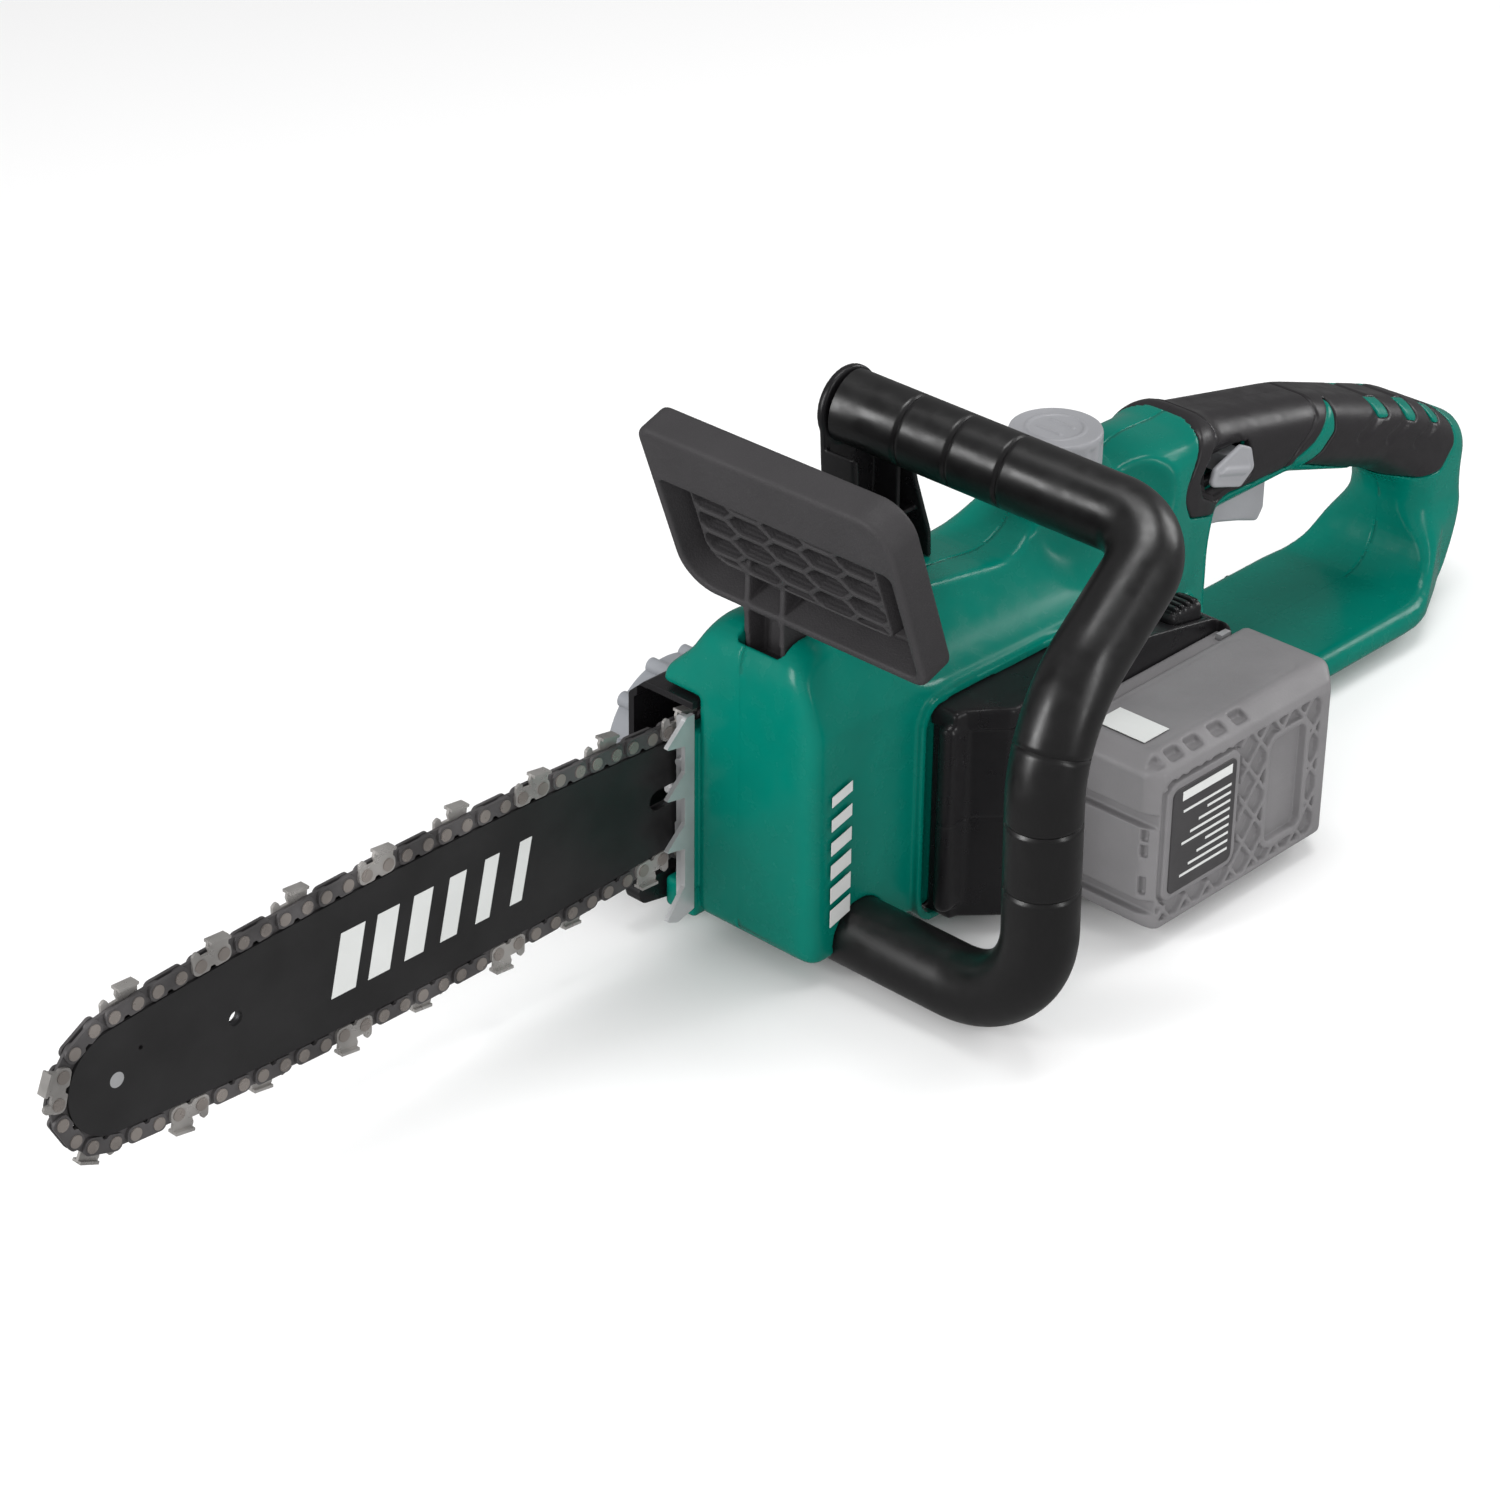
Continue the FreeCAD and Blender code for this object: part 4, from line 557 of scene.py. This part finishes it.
def shell_openings(x, y, z, green):
    """Cuts for the stalk, tube, oil neck, trigger, lock-off, motor bay, screws and the bar side."""
    tube = rod(x, z, TUBE_FOOT_X, TUBE_FOOT_Z, 14.6)
    pin = rod(x, z, GUARD_PIN_X, GUARD_PIN_Z, 2.6)
    green = smax(green, -block(x, y, z, (1, -5.2, 112.2), (23, 17.2, 170), 2), 1)
    cuts = [np.maximum(pin, np.abs(y - GUARD_Y) - 16.3), np.maximum(tube, TUBE_FOOT_Y - y),
            np.maximum(rod(x, y, CAP_X, CAP_Y, 14.8), 120 - z),
            block(x, y, z, (-291, -8.8, 80), (-235, 8.8, 105), 1), block(x, y, z, *LOCK_SLOT, 2),
            np.maximum(poly(x, z, THUMB) - 0.6, 21.3 - np.abs(y)),
            block(x, y, z, (-196, 15, 14), (-42, 60, 92), 6)]
    for sx, sz, sy in SCREWS:
        cuts.append(np.maximum(rod(x, z, sx, sz, SCREW_HEAD_R), y - sy - 3))
        cuts.append(np.maximum(rod(x, z, sx, sz, SCREW_R), y - 20))
    for hx, hz, r in ((-60.1, 61, 9), (-3, 61, 4.2), (-15, 27, 2.7)):
        cuts.append(np.maximum(rod(x, z, hx, hz, r), y + 10))
    for cut in cuts:
        green = np.maximum(green, -cut)
    return green


def right_shell(x, y, z):
    """Right half, with the strip and foot beside the bar that carry the spike and the catcher."""
    strip = block(x, y, z, (16, -29.2, 20), (28, -22, 90), 1)
    foot = block(x, y, z, (-20, -38, 7), (28, -22, 20), 2)
    half = np.minimum(green_shell(x, y, z), np.minimum(strip, foot))
    for sz in (42, 76):
        half = np.maximum(half, -np.maximum(rod(y, z, -26.8, sz, 1.6), 12 - x))
    return half


def skins(x, y, z):
    """Soft skins with sunk rings, three fluted windows and a stepped thumb recess."""
    d = housing(x, y, z)
    lines = np.minimum.reduce([polyline(x, z, ring) for ring in GRIP_RINGS])
    flutes = np.minimum.reduce([polyline(x, z, flute) for flute in GRIP_FLUTES])
    sunk = 0.8 * (1 - ease(lines, 0.3, 1.3)) + 0.8 * (1 - ease(flutes, 0.8, 3.6))
    skin = smax(d - 0.1 + sunk, skin_seat(x, y, z, d, 0.0), 1.1)
    for inset, floor in ((0, 20.2), (2.5, 19.4), (5, 18.6)):
        skin = smax(skin, -np.maximum(poly(x, z, THUMB) + inset, floor - np.abs(y)), 0.5)
    return np.maximum(skin, -block(x, y, z, *LOCK_SLOT, 2))


def build_housing():
    moulded("housing_left", (-432, -2, 2), (32, 46, 156), 0.8, green_shell, "green_shell", "saw_body",
            ("body_shell_left",), MOST_FACES, 1)
    moulded("housing_right", (-432, -46, 2), (32, 2, 156), 0.8, right_shell, "green_shell", "saw_body",
            ("body_shell_right",), MOST_FACES, -1)
    moulded("grip_left", (-412, -1.95, 60), (-194, 27, 156), 0.65, skins, "grip_rubber", "saw_body",
            ("grip_skin_left",), 150000, 1)
    moulded("grip_right", (-412, -27.3, 60), (-194, 2, 156), 0.65, skins, "grip_rubber", "saw_body",
            ("grip_skin_right",), 150000, -1)


# ---------------------------------------------------------------- motor housing and battery
def motor_case(x, y, z):
    """Cover over the motor: front pilaster, flared wall under a ledge, dock channel behind the pack."""
    plan = poly(x, y, HOUSING_PLAN) + 1.6 * (1 - ease(z, 90, 91.5))
    block_out = np.maximum(smax(poly(x, z, HOUSING_SIDE), plan, 2), 0.3 - housing(x, y, z))
    outer = smin(block_out, block(x, y, z, (-60, 44, 12), (-34, 51.5, 94), 3.5), 1.2)
    parting = np.maximum(np.maximum(np.abs(z - 51.5) - 0.4, 40 - y), -(outer + 0.5))
    case = np.maximum(np.maximum(outer, -parting), -(block_out + 2.8))
    trough = np.maximum(block(x, y, z, (-192.5, 54.5, 13.5), (-90.5, 70, 110), 1), block_out)
    case = np.minimum(case, trough)
    case = np.maximum(case, -block(x, y, z, (-190, 57, 16), (-93, 80, 120), 1))
    case = np.maximum(case, -block(x, y, z, (-203, 0, 10), (-41, 42, 84), 1))
    return np.maximum(case, -block(x, y, z, (-185.4, 41.1, 75), (-164.6, 53.9, 110), 3))


PACK_FACE_Y, PACK_TOP = 114, 83.0
PACK_PLAN = [(-200, 64.5, 5), (-83, 64.5, 3), (-83, 106, 4), (-89, 114, 4), (-191, 114, 5),
             (-200, 104, 6)]
PACK_SIDE = [(-200, 7.5, 5), (-200, 83, 6), (-91, 83, 6), (-83, 76, 4), (-83, 12, 4), (-88, 7.5, 3)]
PACK_END = [(64.5, 7.5, 3), (64.5, 83, 3), (103, 83, 5), (112, 77.5, 2), (114, 74, 2), (114, 7.5, 4)]
LABEL = (-134, -90, 20, 71)
RIB_PITCH, RIB_SLOPE, FACE_DEPTH = 14.0, 0.82, 3.2


def flat_block(p, q, p0, p1, q0, q1, r):
    """Rounded rectangle, flat."""
    u = np.abs(p - (p0 + p1) / 2) - (p1 - p0) / 2 + r
    v = np.abs(q - (q0 + q1) / 2) - (q1 - q0) / 2 + r
    return np.hypot(np.maximum(u, 0), np.maximum(v, 0)) + np.minimum(np.maximum(u, v), 0) - r


def pack_face(x, z):
    """Depth of the pack's outer face below its rim: lattice field, label plate and finger recess."""
    field = flat_block(x, z, -186, -87.5, 11.5, 74, 5)
    ribs = np.float32(9)
    for turn in (RIB_SLOPE, -RIB_SLOPE):
        run = ((x + z * turn) / RIB_PITCH) % 1.0
        ribs = np.minimum(ribs, np.abs(run - 0.5) * RIB_PITCH * 0.77)
    label = flat_block(x, z, *LABEL, 5)
    recess = flat_block(x, z, -177.5, -153.5, 18, 66, 5)
    depth = FACE_DEPTH - 2.6 * (1 - ease(ribs, 0.7, 1.4))
    depth = np.where(label < 2.2, FACE_DEPTH, depth)
    depth = depth + (0.5 - depth) * (1 - ease(label, 0.2, 0.9))
    depth = depth + (0.0 - depth) * (1 - ease(recess, 1.8, 2.6))
    depth = depth + (4.0 - depth) * (1 - ease(recess, -1.4, -0.4))
    return depth * (1 - ease(field, -0.8, 0.2))


def pack_case(x, y, z):
    """Battery case with its rail foot, sockets, lattice face, end channels and notched shoulder."""
    outer = smax(smax(poly(x, y, PACK_PLAN), poly(x, z, PACK_SIDE), 2.5), poly(y, z, PACK_END), 2.5)
    shape = smax(outer, y - PACK_FACE_Y + pack_face(x, z), 0.5)
    panel = np.abs(flat_block(x, y, -188, -91, 68.5, 101, 7)) - 0.5
    shape = smax(shape, -np.maximum(panel, 82.3 - z), 0.4)
    for low in (53.5, 15.5):
        shape = smax(shape, -block(x, y, z, (-87.5, 70, low), (-70, 112, low + 6), 0.8), 0.5)
    for low, high in ((24, 32), (40.5, 46), (47.5, 52.5)):
        shape = smax(shape, -block(x, y, z, (-86.5, 105.5, low), (-70, 108.5, high), 0.5), 0.4)
    for centre in (-88, -99.5, -111.5, -126, -139):
        shape = smax(shape, -block(x, y, z, (centre - 4, 104, 78.2), (centre + 4, 109.5, 90), 1.2), 0.6)
    shape = np.maximum(shape, -(outer + 6.5))
    foot = np.minimum(block(x, y, z, (-183.6, 60, 24.5), (-99.4, 66, 80), 0.5),
                      block(x, y, z, (-189.6, 57.4, 24.5), (-93.4, 60.8, 80), 0.5))
    shape = np.minimum(shape, foot)
    for low in (-154, -142, -130):
        shape = np.maximum(shape, -block(x, y, z, (low - 1, 58.5, 10), (low + 2.2, 62, 36), 0))
    return shape


def label_plate(x, y, z):
    x0, x1, z0, z1 = LABEL
    outline = flat_block(x, z, x0 + 2.4, x1 - 2.4, z0 + 2.4, z1 - 2.4, 3.5)
    return rounded_slab(outline, np.abs(y - 113.35) - 0.45, 0.2)


def build_power():
    moulded("motor_cover", (-208, 20, 5), (-32, 67, 102), 0.8, motor_case, "black_plastic", "saw_body",
            ("motor_housing",), most=MOST_FACES)
    moulded("battery", (-202, 55.5, 5.5), (-81, 116, 85), 0.7, pack_case, "pack_grey", "battery_pack",
            ("battery_case",), most=MOST_FACES)
    moulded("battery_label", (-133, 112, 21), (-91, 114.5, 70), 0.35, label_plate, "label_dark",
            "battery_pack")
    left, right, thick = -128.5, -98, 1.1
    strips = [[(left, 62.5), (right, 62.5), (right, 66.5), (left, 66.5)]]
    for row in range(9):
        end = right - 1 - 5 * (row * 7 % 4)
        foot = 57 - row * 3.6
        strips.append([(left, foot), (end, foot), (end, foot + thick), (left, foot + thick)])
    flat_patches("battery_label_bars", strips, 1, 113.8, 0.12, "decal_white", "battery_pack")
    sticker = [(-94, 73), (-109, 73), (-109, 97), (-94, 97)]
    flat_patches("battery_top_label", [sticker], 2, PACK_TOP, 0.12, "decal_white", "battery_pack")


def flat_patches(name, shapes, axis, level, height, look, body):
    """Thin raised patches on a flat face, printed marks with no lettering."""
    points, faces = [], []
    for ring in shapes:
        ring = np.array(ring, float)
        p, q = ring[:, 0], ring[:, 1]
        area = np.sum(p * np.roll(q, -1) - q * np.roll(p, -1))
        if (area < 0) != (axis == 1):
            ring = ring[::-1]
        start, count = len(points), len(ring)
        for level_now in (level - 0.05, level + height):
            points += [np.insert(corner, axis, level_now) for corner in ring]
        faces.append([start + count + i for i in range(count)])
        faces.append([start + i for i in reversed(range(count))])
        for i in range(count):
            j = (i + 1) % count
            faces.append([start + i, start + j, start + count + j, start + count + i])
    return mesh_piece(name, np.array(points), np.array(faces), look, body, smooth=30)


# ---------------------------------------------------------------- guard, front handle and bracket
GUARD_FOOT, GUARD_LEAN = (20, 145.5), math.radians(20)
TRAY = [(-31, 4, 13), (82, 4, 5), (82, 54, 3), (-31, 54, 3)]
LATTICE = [(-21, 15, 10), (70, 14.5, 4), (70, 51, 2), (-21, 51, 2)]
SHIELD = [(-35, 0, 16), (86, 0, 7), (87, 78.5, 14), (-35, 78.5, 6)]
SHIELD_BACK = [(-31, 57, 2), (82, 57, 2), (82, 74.5, 10), (-31, 74.5, 4)]
STALK = [(21, 147, 0), (19.5, 128, 0), (19, 114, 3), (5, 114, 3), (4.5, 130, 4), (7, 160, 6),
         (20, 170, 2)]
STALK_RIB = [(9, 150, 0), (20.5, 146, 0), (26, 162, 0), (18, 166, 0)]
CELL_W, CELL_H = 24.0, 10.5


def honeycomb(p, q):
    """Distance inwards from the walls of long six-sided cells in staggered columns."""
    half, tip, quarter = CELL_H / 2, CELL_W / 2, CELL_W / 4
    best = np.float32(-9)
    for shift_p, shift_q in ((0, 0), (0.75 * CELL_W, half)):
        a = np.abs((p - shift_p + 0.75 * CELL_W) % (1.5 * CELL_W) - 0.75 * CELL_W)
        b = np.abs((q - shift_q + half) % CELL_H - half)
        slant = (half * (tip - a) - quarter * b) / math.hypot(half, quarter)
        best = np.maximum(best, np.minimum(half - b, slant))
    return best


def guard(x, y, z):
    """Leaning shield with its stalk, and two ribs that run up to the lattice."""
    dx, dz = x - GUARD_FOOT[0], z - GUARD_FOOT[1]
    w = dx * math.cos(GUARD_LEAN) - dz * math.sin(GUARD_LEAN)
    v = dx * math.sin(GUARD_LEAN) + dz * math.cos(GUARD_LEAN)
    stalk = np.maximum(poly(x, z, STALK), np.abs(y - GUARD_Y) - 10)
    inside = np.maximum(np.abs(y - GUARD_Y) - 7.6, 11.5 - x)
    stalk = np.maximum(stalk, -np.maximum(inside, 127 - z))
    ribs = np.maximum(np.abs(np.abs(y - GUARD_Y) - 8.8) - 1.2, poly(x, z, STALK_RIB))
    ribs = np.maximum(ribs, np.maximum(w + 1.0 + 0.45 * np.maximum(v - 3, 0), v - 14))
    whole = smin(np.minimum(shield(y, v, w), stalk), ribs, 0.8)
    pin = rod(x, z, GUARD_PIN_X, GUARD_PIN_Z, 2.7)
    return np.maximum(whole, -np.maximum(pin, np.abs(y - GUARD_Y) - 12))


def shield(y, v, w):
    """Plate across y and up v: flat upper band, deep tray, raised lattice of blind cells."""
    plate = rounded_slab(poly(y, v, SHIELD), np.abs(w + 7.5) - 7.5, 2.2)
    tray = poly(y, v, TRAY)
    cell = honeycomb(y - GUARD_Y, v - 30)
    panel = poly(y, v, LATTICE)
    floor = -13.0 + 8.4 * (1 - ease(panel, 0, 0.7))
    floor = floor - 8.2 * ease(cell, 1.1, 1.6) * (1 - ease(panel, -1.9, -1.3))
    plate = smax(plate, -np.maximum(tray + (-w) * 0.18, floor - w), 1.0)
    return smax(plate, -np.maximum(poly(y, v, SHIELD_BACK), w + 3.2), 1)


TUBE_END_X, TUBE_END_Z = -53.5, 199
LEG = [(-38, 212, 14), (-40, 178, 10), (-45, 118, 3), (-87, 118, 3), (-86, 140, 8), (-78, 163, 12),
       (-68, 196, 16), (-62, 216, 14)]


def leg(x, y, z):
    """Channel leg that holds the tube's right end, with a rounded cap and inner ribs."""
    d = rounded_slab(poly(x, z, LEG), np.abs(y + 14) - 9, 1.6)
    hollow = smax(poly(x, z, LEG) + 2.6, -(y + 20), 0.8)
    ribs = np.minimum(np.abs(z - 151) - 1.1, np.abs(x + 69) - 1.1)
    d = np.maximum(d, -np.maximum(hollow, -np.maximum(ribs, y + 8)))
    d = smax(d, -np.maximum(rod(x, z, TUBE_END_X, TUBE_END_Z, 19), -19.8 - y), 0.8)
    disc = rounded_slab(rod(x, z, TUBE_END_X, TUBE_END_Z, 15.6), np.abs(y + 21.4) - 1.7, 1.0)
    d = np.minimum(d, disc)
    d = np.maximum(d, -np.maximum(rod(x, z, TUBE_END_X - 0.3, TUBE_END_Z, 14.7), -19.7 - y))
    return np.maximum(d, 0.25 - housing(x, y, z))


TUBE_ROUTE = [((-1, 25, 14.5), 0), ((-1, 126, 14.5), 41), ((2, 126, 141), 56), ((-73, 116, 186), 22),
              ((TUBE_END_X, -20, TUBE_END_Z), 0)]
TUBE_R, TUBE_WALL, TUBE_SIDES, TUBE_STEP = 14.5, 3.0, 60, 0.6
RING_MARKS = [(-1, 126, 129), (0, 126, 101.5), (0, 126, 74), (-57.6, 8.3, 196.3), (-60.7, 30.4, 194.2),
              (-63.9, 52.3, 192.1)]
RING_OFFSET, RING_HALF_WIDTH, RING_DEPTH = 11, 1.3, 0.8
RING_SIDE = (0.632, 0.594, 0.497)


def rounded_route(route, spacing):
    """Points along straight runs joined by arcs of the radii given at the corners."""
    points = [np.array(route[0][0], float)]
    for (before, _), (corner, radius), (after, _) in zip(route, route[1:], route[2:]):
        before, corner, after = (np.array(p, float) for p in (before, corner, after))
        ua = (before - corner) / np.linalg.norm(before - corner)
        ub = (after - corner) / np.linalg.norm(after - corner)
        half = math.acos(float(ua @ ub)) / 2
        bisector = (ua + ub) / np.linalg.norm(ua + ub)
        centre = corner + bisector * radius / math.sin(half)
        start, end = corner + ua * radius / math.tan(half), corner + ub * radius / math.tan(half)
        points += line(points[-1], start, spacing)
        arm_a, arm_b = start - centre, end - centre
        turn = math.pi - 2 * half
        count = int(turn * radius / spacing) + 1
        for n in range(1, count + 1):
            t = n / count
            swung = arm_a * math.sin((1 - t) * turn) + arm_b * math.sin(t * turn)
            points.append(centre + swung / math.sin(turn))
    return np.array(points + line(points[-1], np.array(route[-1][0], float), spacing))


def line(a, b, spacing):
    count = max(1, int(np.linalg.norm(b - a) / spacing))
    return [a + (b - a) * n / count for n in range(1, count + 1)]


def tube_ways(path):
    """Directions outwards from the path, for every point of it and every side of the tube."""
    tangent = np.gradient(path, axis=0)
    tangent /= np.linalg.norm(tangent, axis=1)[:, None]
    across = np.zeros_like(path)
    across[0] = (1, 0, 0)
    for n in range(1, len(path)):
        a = across[n - 1] - tangent[n] * (across[n - 1] @ tangent[n])
        across[n] = a / np.linalg.norm(a)
    other = np.cross(tangent, across)
    angle = np.arange(TUBE_SIDES) * 2 * math.pi / TUBE_SIDES
    return across[:, None] * np.cos(angle)[None, :, None] + other[:, None] * np.sin(angle)[None, :, None]


def tube_radius(path, way):
    """Outer radius, less where a ring groove runs half round the outside or the inside."""
    length = np.concatenate([[0], np.cumsum(np.linalg.norm(np.diff(path, axis=0), axis=1))])
    radius = np.full((len(path), TUBE_SIDES), TUBE_R)
    facing = way @ np.array(RING_SIDE)
    for mark in RING_MARKS:
        at = length[np.argmin(np.linalg.norm(path - np.array(mark), axis=1))]
        shift = RING_OFFSET if mark[1] > 100 else -RING_OFFSET
        for offset, side in ((0, 1), (shift, -1)):
            groove = np.maximum(0, 1 - np.abs(length - at - offset) / RING_HALF_WIDTH)
            radius -= RING_DEPTH * groove[:, None] * ease(side * facing, 0.05, 0.15)
    return radius


def front_tube():
    """Swept tube with clipped ring grooves on its top run and its upright run."""
    path = rounded_route(TUBE_ROUTE, TUBE_STEP)
    way = tube_ways(path)
    outer = path[:, None] + way * tube_radius(path, way)[..., None]
    inner = path[:, None] + way * (TUBE_R - TUBE_WALL)
    points = np.concatenate([outer.reshape(-1, 3), inner.reshape(-1, 3)])
    rows, off = len(path), len(path) * TUBE_SIDES
    side = np.arange(TUBE_SIDES)
    faces = []
    for n in range(rows - 1):
        a, b = n * TUBE_SIDES + side, n * TUBE_SIDES + (side + 1) % TUBE_SIDES
        faces.append(np.stack([a, b, b + TUBE_SIDES, a + TUBE_SIDES], 1))
        faces.append(np.stack([a + off, a + TUBE_SIDES + off, b + TUBE_SIDES + off, b + off], 1))
    for n in (0, rows - 1):
        a, b = n * TUBE_SIDES + side, n * TUBE_SIDES + (side + 1) % TUBE_SIDES
        ring = np.stack([a, a + off, b + off, b], 1)
        faces.append(ring[:, ::-1] if n else ring)
    mesh_piece("front_handle", points, np.concatenate(faces), "tube_black", "saw_body", ("handle_tube",),
               smooth=SHARP_ANGLE)


def build_front():
    moulded("guard_shield", (-12, -37.5, 111), (52, 89.5, 224), 0.7, guard, "guard_plastic", "front_guard",
            ("hand_guard",), most=MOST_FACES)
    moulded("tube_leg", (-97, -25, 114), (-26, -2, 222), 0.7, leg, "black_plastic", "saw_body",
            ("handle_bracket",))
    front_tube()


# ---------------------------------------------------------------- controls
def cap(x, y, z):
    """Filler cap: lobed skirt, soft top edge and a plain raised mark."""
    r = np.hypot(x - CAP_X, y - CAP_Y)
    turn = np.arctan2(y - CAP_Y, x - CAP_X)
    lobes = 0.55 * (1 - np.cos(turn * 14)) * ease(z, 145, 147) * (1 - ease(z, 159, 162))
    d = rounded_slab(r - 19, np.abs(z - 154) - 11, 2.6)
    d = smax(d, r - 19 + lobes, 1)
    bars = np.maximum(np.abs(np.abs(x - CAP_X) - 4) - 0.7, np.abs(y - CAP_Y) - 6)
    mark = np.minimum(np.abs(r - 11.5) - 0.7, bars)
    d = smax(d, z - 164.4 - 0.6 * (1 - ease(mark, -0.3, 0.5)), 0.3)
    return np.maximum(d, -np.maximum(r - 15, z - 161))


TRIGGER_PIN = (-243, 106)


def trigger_blade(x, y, z):
    side = poly(x, z, [(-237, 104, 1), (-236, 90, 3), (-253, 87.5, 20), (-267, 83.3, 30), (-281, 78.3, 2.5),
                       (-285, 84, 2), (-285, 102, 2), (-252, 102, 2), (-252, 104, 0.5)])
    width = np.abs(y) - 8.2
    d = np.minimum(rounded_slab(side, width, 2.0), np.maximum(rod(x, z, *TRIGGER_PIN, 5), width))
    return np.maximum(d, -rod(x, z, *TRIGGER_PIN, 2.05))


def lock_paddles(x, y, z):
    """Slider through the grip, with a ridged thumb paddle on each side."""
    stem = block(x, y, z, (-250, -21, 118), (-240, 21, 127), 0.5)
    side = poly(x, z, [(-224, 121, 2), (-226, 127, 2), (-243, 132.4, 2), (-250, 129, 2.5), (-253, 119, 3),
                       (-244, 113, 2.5), (-226, 119, 2)])
    ridge = 0.9 * (1 - ease(np.abs((z - 122) - 0.3 * (x + 240)), 0.6, 2.6))
    paddle = rounded_slab(side, np.abs(np.abs(y) - 23.6) - 1.2, 0.9)
    raised = rounded_slab(side + 3.2, np.abs(np.abs(y) - 23.6) - 1.3 - ridge, 0.6)
    neck = block(x, np.abs(y), z, (-249, 20, 118), (-239, 23, 126), 0.3)
    return np.minimum(np.minimum(stem, paddle), np.minimum(raised, neck))


def dock_latch(x, y, z):
    """Press button over the battery's dock, ribbed on top."""
    base = block(x, y, z, (-185, 41.5, 83), (-165, 53.5, 93.5), 2.5)
    crown = block(x, y, z, (-183.5, 42.5, 88), (-166.5, 52.5, 95.4), 1.5)
    return smin(base, np.maximum(crown, np.abs((x + 175) % 3.6 - 1.8) - 0.9), 0.5)


def build_controls():
    moulded("oil_filler_cap", (-171, -19, 142), (-129, 23, 166), 0.45, cap, "light_grey", "filler_cap",
            ("oil_cap",))
    moulded("throttle_trigger", (-287, -10, 76), (-234, 10, 112), 0.5, trigger_blade, "light_grey",
            "throttle", ("trigger",))
    moulded("lock_off", (-255, -27, 111), (-222, 27, 134), 0.45, lock_paddles, "light_grey", "lock_off",
            ("lock_off_button",))
    moulded("dock_latch", (-187, 40, 81), (-163, 55, 97), 0.45, dock_latch, "black_plastic", "dock_button",
            ("pack_release",))


# ---------------------------------------------------------------- plain printed stripes
BAR_SIDE_Y, HOUSING_SIDE_Y = -31.0, 39.0


def build_stripes():
    """Slanted light bars where a maker would print a mark, on the guide bar and on the housing."""
    bars = []
    for n in range(6):
        x0, width = 204 - n * 17.5, 11.5 - n * 1.1
        bars.append([(x0, 48.5), (x0 - width, 48.5), (x0 - width - 6, 73.5), (x0 - 6, 73.5)])
    flat_patches("bar_stripes", bars, 1, BAR_SIDE_Y, 0.12, "decal_white", "guide_bar")
    blocks = []
    for n in range(6):
        z0, height = 25 + n * 10.5, 7.4 - n * 0.6
        blocks.append([(17.5, z0), (6.5, z0 + 3), (6.5, z0 + 3 + height), (17.5, z0 + height)])
    flat_patches("housing_stripes", blocks, 1, HOUSING_SIDE_Y, 0.15, "decal_white", "saw_body")


# ---------------------------------------------------------------- build
place_camera()
stage()
dress_cad()
build_housing()
build_power()
build_front()
build_controls()
build_stripes()
